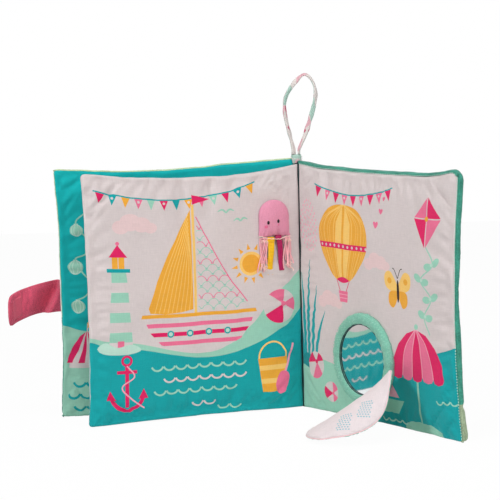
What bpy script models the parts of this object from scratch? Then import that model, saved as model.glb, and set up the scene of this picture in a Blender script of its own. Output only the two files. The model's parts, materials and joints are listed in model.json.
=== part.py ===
"""A soft cloth activity book, standing open: two padded plush covers and one padded leaf on a cloth spine.

Units are metres, +Z is up. The origin is the middle of the spine's flat foot. The book stands with its open side
towards -Y. Left of the spine are the front cover and the leaf, right of it is the back cover.
"""

import math

import bmesh
import bpy
from mathutils import Vector

# Cloth and sewing, used all over the book
gap = 0.0003
cover_cloth = 0.0010
plush_cloth = 0.0010
page_cloth = 0.0008
seam_half = 0.00015

# Covers and leaf
cover_width = 0.194
cover_height = 0.200
cover_inner_rise = 0.0048
cover_outer_rise = 0.0062
cover_rim = 0.0019
cover_plush_rim = 0.0021
cover_root_rim = 0.00125
cover_root_lap = 0.0010
cover_top_sag = 0.0042
leaf_width = 0.180
leaf_height = 0.1985
leaf_rise = 0.0041
leaf_rim = 0.0017
leaf_root_rim = 0.0013
leaf_root_lap = 0.0012
root_rim_share = 0.06
least_filling = 0.0001
leaf_top_sag = 0.0058
film_thick = 0.0003
fore_edge_draw = 0.0030
foot_rise = 0.0014
foot_cut = 0.0005
corner_round = 0.0080
corner_power = 12
crown_power = 0.4

# How far each panel stands forward of the plane that faces the reader, in degrees
front_heading = 6.8
leaf_heading = 21.2
back_heading = 55.1

# Spine: a plush strip and its lining between the two stitched folds
spine_heading = -54.5
spine_width = 0.0095
spine_plush = 0.0034
spine_lining = 0.0012
fold_clearance = 0.0003
leaf_fold_shift = 0.0004
spine_round = 0.0012

# Seams where one plush colour meets the other, measured up from the foot
front_plush_seam = 0.080
back_plush_seam = 0.026

# Hanging loop of folded cloth, and the sewn block that holds its ends
loop_thick = 0.0038
loop_lean = -0.0025
loop_spacing_share = 1.1
tack_margin = 0.0003
tack_height = 0.0050

# Closure tab at the front cover's fore edge
tab_length = 0.0480
tab_root_width = 0.0250
tab_tip_width = 0.0190
tab_height = 0.0985
tab_droop = 0.0100
tab_half = 0.0017
tab_start_turn = -20.0
tab_end_turn = 78.0
tab_root_half = 0.0005
tab_root_share = 0.12
tab_tip_share = 0.1
tab_edge_share = 0.55
hook_thick = 0.0010
hook_along_shares = (0.66, 0.96)
hook_across_shares = (0.12, 0.88)

# Patch on the back cover's outside that the closure tab sticks to
patch_width = 0.028
patch_height = 0.022
patch_inset = 0.020
patch_thick = 0.0012

# Mirror, its ring and its backing on the back cover
mirror_across = 0.0835
mirror_up = 0.0496
ring_outer = 0.0364
ring_inner = 0.0278
ring_thick = 0.0022
ring_side_share = 0.4
ring_shoulder_share = 0.87
ring_shoulder_width_share = 0.45
film_tuck_share = 0.4
mirror_film_thick = 0.0008
backing_thick = 0.0010

# Flap over the mirror: where it is sewn to the ring, its size and how it hangs at rest
flap_place = -36.8
flap_length = 0.0838
flap_width = 0.0725
flap_open = 93.0
flap_droop = 48.6
flap_twist = 52.6
flap_cup = 25.0
flap_half = 0.0019
flap_first_share = 0.045
flap_last_share = 0.985
flap_seat_share = 0.84
flap_rim_share = 0.62
flap_cloth = 0.0004
flap_root_rim = 0.0007
flap_root_lap = 0.0012
tape_width = 0.0030
tape_thick = 0.0009

# Jellyfish on the leaf and what hangs from it
jelly_across = 0.0203
jelly_foot = 0.1432
jelly_width = 0.0265
jelly_height = 0.0275
jelly_rise = 0.0052
jelly_rim = 0.0016
jelly_cloth = 0.0008
jelly_straight_share = 0.52
jelly_dome_share = 0.97
hem_height = 0.0030
hem_thick = 0.0010
ribbon_width = 0.0060
ribbon_thick = 0.0006
ribbon_length = 0.0275
ribbon_wave = 0.0012
yellow_share = 0.12
magenta_share = -0.174
fringe_width = 0.0038
fringe_thick = 0.0018
fringe_length = 0.0215
left_fringe_share = 0.347
right_fringe_share = -0.396
hang_start = 0.0006
hang_stand_off = 0.0010

# How finely the cloth is divided
panel_steps = 12
flap_steps = 10
small_steps = 7
few_steps = 4
spine_round_steps = 3
round_steps = 36
sharp_angle = 40


def clear_scene():
    for item in list(bpy.data.objects):
        bpy.data.objects.remove(item, do_unlink=True)


def material(name, colour, roughness=0.9, metallic=0.0):
    made = bpy.data.materials.new(name)
    made.use_nodes = True
    shader = made.node_tree.nodes["Principled BSDF"]
    shader.inputs["Base Color"].default_value = (*colour, 1.0)
    shader.inputs["Roughness"].default_value = roughness
    shader.inputs["Metallic"].default_value = metallic
    return made


def body(name, place):
    """An empty on a joint's axis, which the pieces of one moving body hang from."""
    empty = bpy.data.objects.new(name, None)
    empty.location = place
    bpy.context.collection.objects.link(empty)
    return empty


def add_solid(name, carrier, points, faces, finish):
    """A closed mesh from world points, hung from its body's empty."""
    mesh = bpy.data.meshes.new(name)
    mesh.from_pydata([point - carrier.location for point in points], [], faces)
    shaped = bmesh.new()
    shaped.from_mesh(mesh)
    bmesh.ops.recalc_face_normals(shaped, faces=shaped.faces)
    shaped.to_mesh(mesh)
    shaped.free()
    mesh.shade_smooth()
    mesh.set_sharp_from_angle(angle=math.radians(sharp_angle))
    mesh.materials.append(finish)
    made = bpy.data.objects.new(name, mesh)
    bpy.context.collection.objects.link(made)
    made.parent = carrier
    return made


def turn(degrees):
    return Vector((math.cos(math.radians(degrees)), math.sin(math.radians(degrees)), 0))


def bow(share):
    """1 in the middle of a side and 0 at its ends."""
    return 4 * share * (1 - share)


def crown(across, up):
    """How full the wadding stands at a place on a panel, from 0 at its seams to 1 in its middle."""
    return (bow(across) * bow(up)) ** crown_power


def eased(count):
    """Shares from 0 to 1 that lie closer together at both ends, where cloth turns over a seam."""
    return [(1 - math.cos(math.pi * step / count)) / 2 for step in range(count + 1)]


def grid(point, across_shares, up_shares, depth, inset=0.0):
    """Rows of points on a sheet. depth is a function of the two shares."""
    return [
        [point(across, up, depth(across, up), inset) for across in across_shares]
        for up in up_shares
    ]


def rim_of(rows, columns):
    """The outline of a grid as (row, column) pairs in one loop."""
    bottom = [(0, column) for column in range(columns)]
    right = [(row, columns - 1) for row in range(1, rows)]
    top = [(rows - 1, column) for column in range(columns - 2, -1, -1)]
    left = [(row, 0) for row in range(rows - 2, 0, -1)]
    return bottom + right + top + left


def grid_faces(rows, columns, first):
    """Quads of a grid whose first point has the number given."""
    return [
        (
            first + row * columns + column,
            first + row * columns + column + 1,
            first + (row + 1) * columns + column + 1,
            first + (row + 1) * columns + column,
        )
        for row in range(rows - 1)
        for column in range(columns - 1)
    ]


def add_pad(name, carrier, low, high, finish):
    """A solid between two grids of points that share one outline in the round."""
    rows, columns = len(low), len(low[0])
    points = [point for row in low for point in row] + [point for row in high for point in row]
    second = rows * columns
    faces = grid_faces(rows, columns, 0) + grid_faces(rows, columns, second)
    outline = [row * columns + column for row, column in rim_of(rows, columns)]
    for here, after in zip(outline, outline[1:] + outline[:1]):
        faces.append((here, after, second + after, second + here))
    return add_solid(name, carrier, points, faces, finish)


def add_tray(name, carrier, point, half, skin, side, across_shares, up_shares, finish, cut=None):
    """One half of a sewn cloth case: a crowned sheet whose edge turns over to the seam.

    cut names a side of the sheet that another sheet carries on from, "low" or "high" on its up shares.
    """
    rows, columns = len(up_shares), len(across_shares)

    def outer_depth(across, up):
        return side * half(across, up)

    def inner_depth(across, up):
        return side * (half(across, up) - skin)

    def seam_depth(across, up):
        return side * seam_half

    sheets = [
        grid(point, across_shares, up_shares, outer_depth),
        grid(point, across_shares, up_shares, inner_depth, skin),
        grid(point, across_shares, up_shares, seam_depth),
        grid(point, across_shares, up_shares, seam_depth, skin),
    ]
    loop = rim_of(rows, columns)
    cut_row = {"low": 0, "high": rows - 1}.get(cut)
    seamed = [
        (row, column)
        for row, column in loop
        if row != cut_row or column in (0, columns - 1)
    ]
    points = [spot for sheet in sheets[:2] for row in sheet for spot in row]
    number = {}
    for place, sheet in enumerate(sheets[2:]):
        for row, column in seamed:
            number[place, row, column] = len(points)
            points.append(sheet[row][column])
    count = rows * columns

    def outer(spot):
        return spot[0] * columns + spot[1]

    def inner(spot):
        return count + outer(spot)

    faces = grid_faces(rows, columns, 0) + grid_faces(rows, columns, count)
    for here, after in zip(loop, loop[1:] + loop[:1]):
        if here[0] == cut_row and after[0] == cut_row:
            faces.append((outer(here), outer(after), inner(after), inner(here)))
            continue
        edge, inner_edge = [(number[place, *here], number[place, *after]) for place in (0, 1)]
        faces.append((outer(here), outer(after), edge[1], edge[0]))
        faces.append((edge[0], edge[1], inner_edge[1], inner_edge[0]))
        faces.append((inner_edge[0], inner_edge[1], inner(after), inner(here)))
    if cut_row is not None:
        for spot in ((cut_row, 0), (cut_row, columns - 1)):
            faces.append((outer(spot), number[0, *spot], number[1, *spot], inner(spot)))
    return add_solid(name, carrier, points, faces, finish)


class Panel:
    """A cover or the leaf: where it stands, and where a point on or in it lies."""

    def __init__(self, root, along, inward, width, height, top_sag, fold, inner, outer):
        self.root = root
        self.along = along
        self.inward = inward
        self.width = width
        self.height = height
        self.top_sag = top_sag
        self.root_lap, self.root_rim = fold
        self.inner_rim, self.inner_rise = inner
        self.outer_rim, self.outer_rise = outer

    def place(self, along, up, depth):
        """The world point at real lengths along the panel, up it and towards the reader."""
        return self.root + along * self.along + depth * self.inward + Vector((0, 0, up))

    def point(self, across, up, depth, inset=0.0):
        """The world point at shares of the outline, with drawn-in sides, less an inset all round."""
        edge = self.width + self.root_lap - fore_edge_draw * bow(up)
        foot = max(0.0, foot_rise * bow(across) - foot_cut)
        top = self.height - self.top_sag * bow(across)
        into_corner = min(max(0.0, across * self.width - self.width + corner_round), corner_round)
        drop = corner_round - math.sqrt(corner_round**2 - into_corner**2)
        low = foot + inset
        high = top - inset - drop * max(0.0, 2 * up - 1) ** corner_power
        along = inset + across * (edge - 2 * inset) - self.root_lap
        return self.place(along, low + up * (high - low), depth)

    def half(self, across, up, rim, rise):
        edge = self.root_rim + (rim - self.root_rim) * min(1.0, across / root_rim_share)
        return edge + (rise - edge) * crown(across, up)

    def inner_half(self, across, up):
        return self.half(across, up, self.inner_rim, self.inner_rise)

    def outer_half(self, across, up):
        return self.half(across, up, self.outer_rim, self.outer_rise)

    def inner_surface(self, along, up):
        """How far the cloth that faces the reader stands at real lengths along and up."""
        return self.inner_half(*self.shares(along, up))

    def outer_surface(self, along, up):
        return self.outer_half(*self.shares(along, up))

    def shares(self, along, up):
        across = (along + self.root_lap) / (self.width + self.root_lap)
        return min(max(across, 0), 1), min(max(up / self.height, 0), 1)

    def add_wadding(self, name, carrier, low, high, skin, finish):
        """Filling between two depths, which are functions of the shares, clear of the cloth round it."""
        shares = eased(panel_steps)
        inset = skin + gap
        sheets = [grid(self.point, shares, shares, depth, inset) for depth in (low, high)]
        return add_pad(name, carrier, *sheets, finish)


def split_shares(height, seam):
    """Up shares of the lower and the upper sheet of a case with a seam across it."""
    shares = eased(panel_steps)
    share = seam / height
    half_gap = gap / 2 / height
    lower = [up for up in shares if up < share - half_gap] + [share - half_gap]
    upper = [share + half_gap] + [up for up in shares if up > share + half_gap]
    return lower, upper


def surface_pad(name, carrier, panel, side, outline, bottom, top, finish, steps=small_steps):
    """A piece that lies on a panel. outline gives (along, up) for two shares, bottom and top its heights there."""
    surface = panel.inner_surface if side > 0 else panel.outer_surface

    def sheet(rise):
        return [
            [
                panel.place(*outline(across, up), side * (surface(*outline(across, up)) + rise(across, up)))
                for across in eased(steps)
            ]
            for up in eased(steps)
        ]

    return add_pad(name, carrier, sheet(bottom), sheet(top), finish)


def add_round(name, carrier, sections, closed, finish):
    """A solid from equal sections round an axis. closed joins each section's last point to its first."""
    size = len(sections[0])
    points = [point for section in sections for point in section]
    faces = []
    for turn_number in range(len(sections)):
        here = turn_number * size
        after = (turn_number + 1) % len(sections) * size
        for step in range(size if closed else size - 1):
            following = (step + 1) % size
            faces.append((here + step, here + following, after + following, after + step))
    if not closed:
        for end in (0, size - 1):
            faces.append(tuple(turn_number * size + end for turn_number in range(len(sections))))
    return add_solid(name, carrier, points, faces, finish)


def spine_strip(name, carrier, low, high, half_width, edge, finish):
    """An upright strip of the spine between two depths, with its outer long edges rounded, on a flat foot."""
    outline = [(-half_width, low), (half_width, low)]
    for corner, start in ((1, 0), (-1, 90)):
        for step in range(spine_round_steps + 1):
            angle = math.radians(start + 90 * step / spine_round_steps)
            outline.append(
                (corner * (half_width - edge) + edge * math.cos(angle), high - edge + edge * math.sin(angle))
            )
    points = [
        spine_place(along, out, up) for up in (0.0, cover_height) for along, out in outline
    ]
    count = len(outline)
    faces = [tuple(range(count)), tuple(range(count, 2 * count))]
    for step in range(count):
        after = (step + 1) % count
        faces.append((step, after, count + after, count + step))
    return add_solid(name, carrier, points, faces, finish)


def spine_place(along, out, up):
    """A world point in the spine's own directions: from the front fold to the back fold, outwards, up."""
    return along * spine_along + out * spine_out + Vector((0, 0, up))


def smooth_route(route, spacing):
    """Evenly spaced points on a smooth curve through a route's points, with straight ends."""
    dense = []
    padded = [2 * route[0] - route[1]] + route + [2 * route[-1] - route[-2]]
    for before, start, end, after in zip(padded, padded[1:], padded[2:], padded[3:]):
        for step in range(small_steps):
            share = step / small_steps
            dense.append(
                0.5
                * (
                    2 * start
                    + (end - before) * share
                    + (2 * before - 5 * start + 4 * end - after) * share**2
                    + (3 * start - before - 3 * end + after) * share**3
                )
            )
    dense.append(route[-1])
    lengths = [0.0]
    for here, after in zip(dense, dense[1:]):
        lengths.append(lengths[-1] + (after - here).length)
    count = round(lengths[-1] / spacing)
    points = []
    place = 0
    for step in range(count + 1):
        wanted = lengths[-1] * step / count
        while place < len(lengths) - 2 and lengths[place + 1] < wanted:
            place += 1
        share = (wanted - lengths[place]) / (lengths[place + 1] - lengths[place])
        points.append(dense[place].lerp(dense[place + 1], share))
    return points


clear_scene()

spine_along = turn(spine_heading)
spine_out = turn(spine_heading + 90)
fold_depth = -spine_plush / 2 - gap / 2
front_fold = spine_place(-spine_width / 2, fold_depth, 0)
back_fold = spine_place(spine_width / 2, fold_depth, 0)
lining_depth = -spine_plush / 2 - gap - spine_lining
leaf_knuckle = math.hypot(leaf_root_lap, leaf_root_rim)
flap_knuckle = math.hypot(flap_root_lap, flap_root_rim)
cover_knuckle = math.hypot(cover_root_lap, cover_root_rim)
leaf_fold = spine_place(leaf_fold_shift, lining_depth - fold_clearance - leaf_knuckle, 0)
strip_half = spine_width / 2 - cover_knuckle - fold_clearance
film_radius = ring_inner + film_tuck_share * (ring_outer - ring_inner)
flap_seat = ring_inner + flap_seat_share * (ring_outer - ring_inner)
loop_strand_half = loop_thick / 2 + gap
tack_half = loop_strand_half + loop_thick / 2 + tack_margin
tack_round = loop_thick / 2 + tack_margin
loop_hinge = Vector((loop_lean, 0, cover_height + gap + tack_height - tack_round))

teal = material("teal_print", (0.02, 0.37, 0.37))
white = material("white_print", (0.80, 0.76, 0.76))
mint = material("mint_plush", (0.13, 0.43, 0.30))
lime = material("lime_plush", (0.62, 0.70, 0.42))
wadding = material("wadding", (0.85, 0.85, 0.83), 1.0)
crinkle = material("crinkle_film", (0.75, 0.78, 0.80), 0.35)
pink = material("pink_velour", (0.58, 0.10, 0.17))
soft_pink = material("jellyfish_pink", (0.75, 0.25, 0.35))
yellow = material("yellow_satin", (0.86, 0.48, 0.02), 0.45)
magenta = material("magenta_satin", (0.42, 0.01, 0.10), 0.45)
ring_mint = material("ring_mint", (0.28, 0.62, 0.50))
mirror_silver = material("mirror_silver", (0.85, 0.87, 0.88), 0.05, 1.0)
loop_print = material("loop_print", (0.70, 0.72, 0.68))

spine = body("spine", Vector((0, 0, 0)))
front_cover = body("front_cover", front_fold)
leaf = body("leaf", leaf_fold)
back_cover = body("back_cover", back_fold)


def make_panel(root, heading, mirrored, *sizes):
    along = turn(180 + heading) if mirrored else turn(-heading)
    inward = turn(270 + heading) if mirrored else turn(270 - heading)
    return Panel(root, along, inward, *sizes)


cover_fold = (cover_root_lap, cover_root_rim)
front = make_panel(
    front_fold, front_heading, True, cover_width, cover_height, cover_top_sag, cover_fold,
    (cover_rim, cover_inner_rise), (cover_plush_rim, cover_outer_rise),
)
middle = make_panel(
    leaf_fold, leaf_heading, True, leaf_width, leaf_height, leaf_top_sag, (leaf_root_lap, leaf_root_rim),
    (leaf_rim, leaf_rise), (leaf_rim, leaf_rise),
)
back = make_panel(
    back_fold, back_heading, False, cover_width, cover_height, cover_top_sag, cover_fold,
    (cover_rim, cover_inner_rise), (cover_plush_rim, cover_outer_rise),
)


def add_spine():
    spine_strip("spine_plush", spine, -spine_plush / 2, spine_plush / 2, strip_half, spine_round, mint)
    spine_strip("spine_lining", spine, lining_depth, lining_depth + spine_lining, strip_half, gap, teal)
    add_loop_tack()


def add_loop_tack():
    """The sewn block under the hanging loop. Its top is round about the line that the loop bends over."""
    foot = tack_round - tack_height
    outline = [(-tack_round, foot), (tack_round, foot)]
    for step in range(small_steps + 1):
        angle = math.pi * step / small_steps
        outline.append((tack_round * math.cos(angle), tack_round * math.sin(angle)))
    sections = [[loop_hinge + Vector((side, out, up)) for out, up in outline] for side in (-tack_half, tack_half)]
    count = len(outline)
    faces = [tuple(range(count)), tuple(range(count, 2 * count))]
    for step in range(count):
        after = (step + 1) % count
        faces.append((step, after, count + after, count + step))
    add_solid("loop_tack", spine, sections[0] + sections[1], faces, loop_print)


def add_cover(panel, carrier, name, seam, upper_finish, lower_finish, lining_finish):
    """A cover's plush outside in two colours, its printed lining and its wadding."""
    shares = eased(panel_steps)
    add_tray(
        name + "_lining", carrier, panel.point, panel.inner_half, cover_cloth, 1, shares, shares, lining_finish
    )
    lower, upper = split_shares(cover_height, seam)
    outside = (panel.point, panel.outer_half, plush_cloth, -1, shares)
    add_tray(name + "_plush_lower", carrier, *outside, lower, lower_finish, "high")
    add_tray(name + "_plush_upper", carrier, *outside, upper, upper_finish, "low")

    def low(across, up):
        return min(gap + plush_cloth - panel.outer_half(across, up), -least_filling)

    def high(across, up):
        return max(panel.inner_half(across, up) - cover_cloth - gap, least_filling)

    panel.add_wadding(name + "_wadding", carrier, low, high, plush_cloth, wadding)


def add_leaf():
    """The leaf's two printed pages, with a crackling film between two layers of wadding."""
    shares = eased(panel_steps)
    for name, side, finish in (("leaf_left_page", 1, white), ("leaf_right_page", -1, white)):
        add_tray(
            name, leaf, middle.point, middle.inner_half, page_cloth, side, shares, shares, finish
        )
    for name, side in (("leaf_wadding_left", 1), ("leaf_wadding_right", -1)):

        def near(across, up):
            return side * (film_thick / 2 + seam_half)

        def far(across, up):
            least = film_thick / 2 + seam_half + least_filling
            return side * max(middle.inner_half(across, up) - page_cloth - gap, least)

        middle.add_wadding(name, leaf, near, far, page_cloth, wadding)

    def film_low(across, up):
        return -film_thick / 2

    def film_high(across, up):
        return film_thick / 2

    middle.add_wadding("leaf_crinkle_film", leaf, film_low, film_high, page_cloth, crinkle)


def rise_of(height):
    """A function that gives one height everywhere."""
    return lambda across, up: height


def add_jellyfish():
    """The padded jellyfish on the leaf's left page, with its hem, ribbons and fringe."""

    def bell(across, up, depth, inset=0.0):
        over = max(0.0, up - jelly_straight_share) / (1 - jelly_straight_share)
        width = (jelly_width - 2 * inset) * math.sqrt(1 - jelly_dome_share * over**2)
        height = jelly_height - 2 * inset
        along, high = jelly_across + (across - 0.5) * width, jelly_foot + inset + up * height
        return middle.place(along, high, middle.inner_surface(along, high) + gap + depth)

    def bell_half(across, up):
        return jelly_rim + (jelly_rise - jelly_rim) * crown(across, up)

    def filling(across, up):
        return bell_half(across, up) - jelly_cloth - gap

    shares = eased(small_steps + 1)
    add_tray("jellyfish_bell", leaf, bell, bell_half, jelly_cloth, 1, shares, shares, soft_pink)
    inset = jelly_cloth + gap
    sheets = [grid(bell, shares, shares, depth, inset) for depth in (rise_of(0.0), filling)]
    add_pad("jellyfish_wadding", leaf, *sheets, wadding)

    def hem(across, up):
        return jelly_across + (across - 0.5) * jelly_width, jelly_foot - gap - hem_height * (1 - up)

    surface_pad("jellyfish_hem", leaf, middle, 1, hem, rise_of(gap), rise_of(gap + hem_thick), soft_pink, few_steps)
    hang_height = jelly_foot - hem_height - gap - hang_start
    hanging = (
        ("ribbon_yellow", yellow_share, ribbon_width, ribbon_thick, ribbon_length, yellow),
        ("ribbon_magenta", magenta_share, ribbon_width, ribbon_thick, ribbon_length, magenta),
        ("fringe_left", left_fringe_share, fringe_width, fringe_thick, fringe_length, soft_pink),
        ("fringe_right", right_fringe_share, fringe_width, fringe_thick, fringe_length, soft_pink),
    )
    for name, share, width, thick, length, finish in hanging:
        across = jelly_across + share * jelly_width
        add_hanging(name, across, width, thick, length, hang_height, finish)


def hang_axis(across, height):
    """Where a ribbon or a fringe turns: just off the page, level with its upper end."""
    stand = middle.inner_surface(across, height) + gap + hang_stand_off
    return middle.place(across, height, stand)


def add_hanging(name, across, width, thick, length, height, finish):
    """A ribbon or a bundle of yarn that hangs down the page from its upper end, with a slight wave."""
    place = hang_axis(across, height)
    carrier = body(name + "_hinge", place)
    rows = [step / small_steps for step in range(small_steps + 1)]

    def sheet(depth):
        return [
            [
                place
                + middle.along * (side * width / 2)
                + Vector((0, 0, -length * down))
                + middle.inward * (depth + ribbon_wave * math.sin(math.pi * down) ** 2)
                for side in (-1, 0, 1)
            ]
            for down in rows
        ]

    return add_pad(name, carrier, sheet(-thick / 2), sheet(thick / 2), finish)


def add_mirror():
    """A flat mirror on a cloth backing, held by a sewn ring on the back cover."""
    heights = [
        back.inner_surface(mirror_across + ring_outer * x, mirror_up + ring_outer * y)
        for x in (-1, 0, 1)
        for y in (-1, 0, 1)
    ]
    floor_height = max(heights) + gap + backing_thick
    film_top = floor_height + gap + mirror_film_thick

    def spot(radius, angle, depth):
        return back.place(
            mirror_across + radius * math.cos(angle), mirror_up + radius * math.sin(angle), depth
        )

    def surface(radius, angle):
        return back.inner_surface(
            mirror_across + radius * math.cos(angle), mirror_up + radius * math.sin(angle)
        )

    angles = [2 * math.pi * step / round_steps for step in range(round_steps)]
    crest = film_top + gap + ring_thick
    side = film_top + gap + ring_thick * ring_side_share
    shoulder = film_top + gap + ring_thick * ring_shoulder_share
    shoulder_width = ring_thick * ring_shoulder_width_share
    backing_radius = film_radius - gap
    ring_clear = film_radius + gap
    backing, film, ring = [], [], []
    for angle in angles:
        backing.append([
            spot(backing_radius, angle, surface(backing_radius, angle) + gap),
            spot(backing_radius, angle, floor_height),
        ])
        film.append([spot(film_radius, angle, floor_height + gap), spot(film_radius, angle, film_top)])
        base = surface(ring_outer, angle) + gap
        seat = max(surface(ring_clear, angle), surface(ring_outer, angle)) + gap
        section = [
            (ring_inner, film_top + gap),
            (ring_clear, film_top + gap),
            (ring_clear, seat),
            (ring_outer, base),
            (ring_outer, side),
            (ring_outer - shoulder_width, shoulder),
            ((ring_outer + ring_inner) / 2, crest),
            (ring_inner + shoulder_width, shoulder),
            (ring_inner, side),
        ]
        ring.append([spot(radius, angle, depth) for radius, depth in section])
    add_round("mirror_backing", back_cover, backing, False, wadding)
    add_round("mirror_film", back_cover, film, False, mirror_silver)
    add_round("mirror_ring", back_cover, ring, True, ring_mint)
    return crest


def add_flap(ring_crest):
    """The round cloth flap over the mirror, hanging open, with the tape that hinges it to the ring."""
    place = math.radians(flap_place)
    outward = back.along * math.cos(place) + Vector((0, 0, math.sin(place)))
    sideways = Vector((0, 0, math.cos(place))) - back.along * math.sin(place)
    axis = back.place(
        mirror_across + flap_seat * math.cos(place),
        mirror_up + flap_seat * math.sin(place),
        ring_crest + gap + tape_thick + fold_clearance + flap_knuckle,
    )
    carrier = body("mirror_flap", axis)
    steps = panel_steps * 2
    spine_line = [Vector((0, 0, 0))]
    for step in range(steps):
        angle = math.radians(flap_open + flap_droop * (step + 0.5) / steps)
        spine_line.append(
            spine_line[-1] + (back.inward * math.sin(angle) - outward * math.cos(angle)) * flap_length / steps
        )

    root_lap = spine_line[1].normalized() * flap_root_lap

    def half_width(share):
        return flap_width / 2 * math.sqrt(max(0.0, 1 - (2 * share - 1) ** 2))

    def flap_point(across, up, depth, inset=0.0):
        first = flap_first_share + inset / flap_length
        last = flap_last_share - inset / flap_length
        share = first + across * (last - first)
        reach = max(half_width(share) - inset, inset)
        side = (2 * up - 1) * reach
        rank = min(int(share * steps), steps - 1)
        along = spine_line[rank].lerp(spine_line[rank + 1], share * steps - rank)
        along = along - spine_line[0].lerp(spine_line[1], flap_first_share * steps) - root_lap
        angle = math.radians(flap_open + flap_droop * share)
        direction = back.inward * math.sin(angle) - outward * math.cos(angle)
        normal = sideways.cross(direction)
        twist = math.radians(flap_twist) * share
        wide = math.cos(twist) * sideways + math.sin(twist) * normal
        high = math.cos(twist) * normal - math.sin(twist) * sideways
        bend = math.radians(flap_cup) * share / flap_width
        turned = bend * side
        if bend:
            shifted = math.sin(turned) / bend * wide + (1 - math.cos(turned)) / bend * high
        else:
            shifted = side * wide
        up_here = math.cos(turned) * high - math.sin(turned) * wide
        return axis + along + shifted + depth * up_here

    def half(across, up):
        rim = flap_root_rim + (flap_half * flap_rim_share - flap_root_rim) * min(1.0, across / root_rim_share)
        return rim + (flap_half - rim) * crown(across, up)

    shares = eased(flap_steps)
    add_tray("flap_inner_panel", carrier, flap_point, half, flap_cloth, -1, shares, shares, white)
    add_tray("flap_outer_panel", carrier, flap_point, half, flap_cloth, 1, shares, shares, ring_mint)
    inset = flap_cloth + gap

    def low(across, up):
        return min(inset - half(across, up), -least_filling)

    def high(across, up):
        return max(half(across, up) - inset, least_filling)

    filling = [grid(flap_point, shares, shares, depth, inset) for depth in (low, high)]
    add_pad("flap_batting", carrier, *filling, wadding)
    chord = half_width(flap_first_share)

    def tape_spot(across, up, depth):
        flat = axis + sideways * (chord * (2 * up - 1)) + outward * (tape_width * (across - 0.5))
        return flat + back.inward * depth

    bottom = -flap_knuckle - fold_clearance - tape_thick
    tape = [
        [[tape_spot(across, up, depth) for across in (0, 1)] for up in eased(small_steps)]
        for depth in (bottom, bottom + tape_thick)
    ]
    add_pad("flap_hinge_tape", back_cover, *tape, white)
    return sideways


def add_closure_patch():
    """The soft patch outside the back cover that the closure tab's hooks take hold of."""

    def outline(across, up):
        middle_along = cover_width - patch_inset - patch_width / 2
        return middle_along + (across - 0.5) * patch_width, tab_height + (up - 0.5) * patch_height

    surface_pad(
        "closure_loop_patch", back_cover, back, -1, outline, rise_of(gap), rise_of(gap + patch_thick), pink, few_steps
    )


def add_closure_tab():
    """The velour tab that is sewn into the front cover's fore edge and curls towards the reader at its tip."""
    edge = cover_width - fore_edge_draw * bow(tab_height / cover_height)
    root = front.place(edge + gap + tab_root_half, tab_height, 0.0)
    carrier = body("closure_tab", root)
    steps = panel_steps * 2
    line = [root]
    start = math.degrees(math.atan2(front.along.y, front.along.x))

    def heading(share):
        return start + tab_start_turn + (tab_end_turn - tab_start_turn) * share**2

    for step in range(steps):
        line.append(line[-1] + turn(heading((step + 0.5) / steps)) * tab_length / steps)

    def tab_point(across, up, depth, inset=0.0):
        share = min(max(across, 0.0), 1.0)
        rank = min(int(share * steps), steps - 1)
        spot = line[rank].lerp(line[rank + 1], share * steps - rank)
        width = tab_root_width + (tab_tip_width - tab_root_width) * share
        tip = max(0.0, share - 1 + tab_tip_share) / tab_tip_share
        width -= tip**2 * tab_half * 2
        lift = Vector((0, 0, (up - 0.5) * width - tab_droop * share**1.5))
        return spot + lift + turn(heading(share) + 90) * depth

    along = [step / panel_steps for step in range(panel_steps + 1)]
    across = eased(few_steps)

    def full(share, up):
        fullness = tab_half * (tab_edge_share + (1 - tab_edge_share) * bow(up) ** crown_power)
        return tab_root_half + (fullness - tab_root_half) * min(1.0, share / tab_root_share)

    for name, side in (("closure_tab_front", 1), ("closure_tab_back", -1)):
        sheets = [
            grid(tab_point, along, across, lambda share, up: side * seam_half),
            grid(tab_point, along, across, lambda share, up: side * full(share, up)),
        ]
        add_pad(name, carrier, *sheets, pink)
    low, high = hook_along_shares
    hook_along = [low + (high - low) * step / small_steps for step in range(small_steps + 1)]
    low, high = hook_across_shares
    hook_across = [low + (high - low) * step / few_steps for step in range(few_steps + 1)]
    seat = tab_half + gap
    sheets = [
        grid(tab_point, hook_along, hook_across, rise_of(depth)) for depth in (seat, seat + hook_thick)
    ]
    add_pad("closure_tab_hooks", carrier, *sheets, pink)


def add_hang_loop():
    """The loop of folded cloth that stands up from the sewn block on the spine."""
    carrier = body("hang_loop_hinge", loop_hinge)
    start = tack_round + gap
    half = loop_strand_half
    side_route = [
        (-half, 0.0), (-half, 0.0038), (-0.0030, 0.0080), (-0.0050, 0.0165), (-0.0074, 0.0270),
        (-0.0086, 0.0360), (-0.0078, 0.0450), (-0.0036, 0.0530), (0.0022, 0.0600), (0.0078, 0.0640),
        (0.0128, 0.0608), (0.0158, 0.0545), (0.0166, 0.0470), (0.0148, 0.0380), (0.0114, 0.0270),
        (0.0076, 0.0160), (0.0040, 0.0080), (half, 0.0038), (half, 0.0),
    ]
    route = [Vector((x, 0, start + z)) for x, z in side_route]
    points = smooth_route(route, loop_spacing_share * loop_thick)
    curve = bpy.data.curves.new("hang_loop", "CURVE")
    curve.dimensions = "3D"
    curve.bevel_depth = loop_thick / 2
    curve.bevel_resolution = 2
    curve.use_fill_caps = True
    line = curve.splines.new("POLY")
    line.points.add(len(points) - 1)
    for target, point in zip(line.points, points):
        target.co = (*point, 1.0)
    curve.materials.append(loop_print)
    made = bpy.data.objects.new("hang_loop", curve)
    bpy.context.collection.objects.link(made)
    made.parent = carrier


add_spine()
add_cover(front, front_cover, "front_cover", front_plush_seam, lime, mint, teal)
add_cover(back, back_cover, "back_cover", back_plush_seam, mint, lime, white)
add_leaf()
add_jellyfish()
flap_direction = add_flap(add_mirror())
add_closure_patch()
add_closure_tab()
add_hang_loop()

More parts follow.
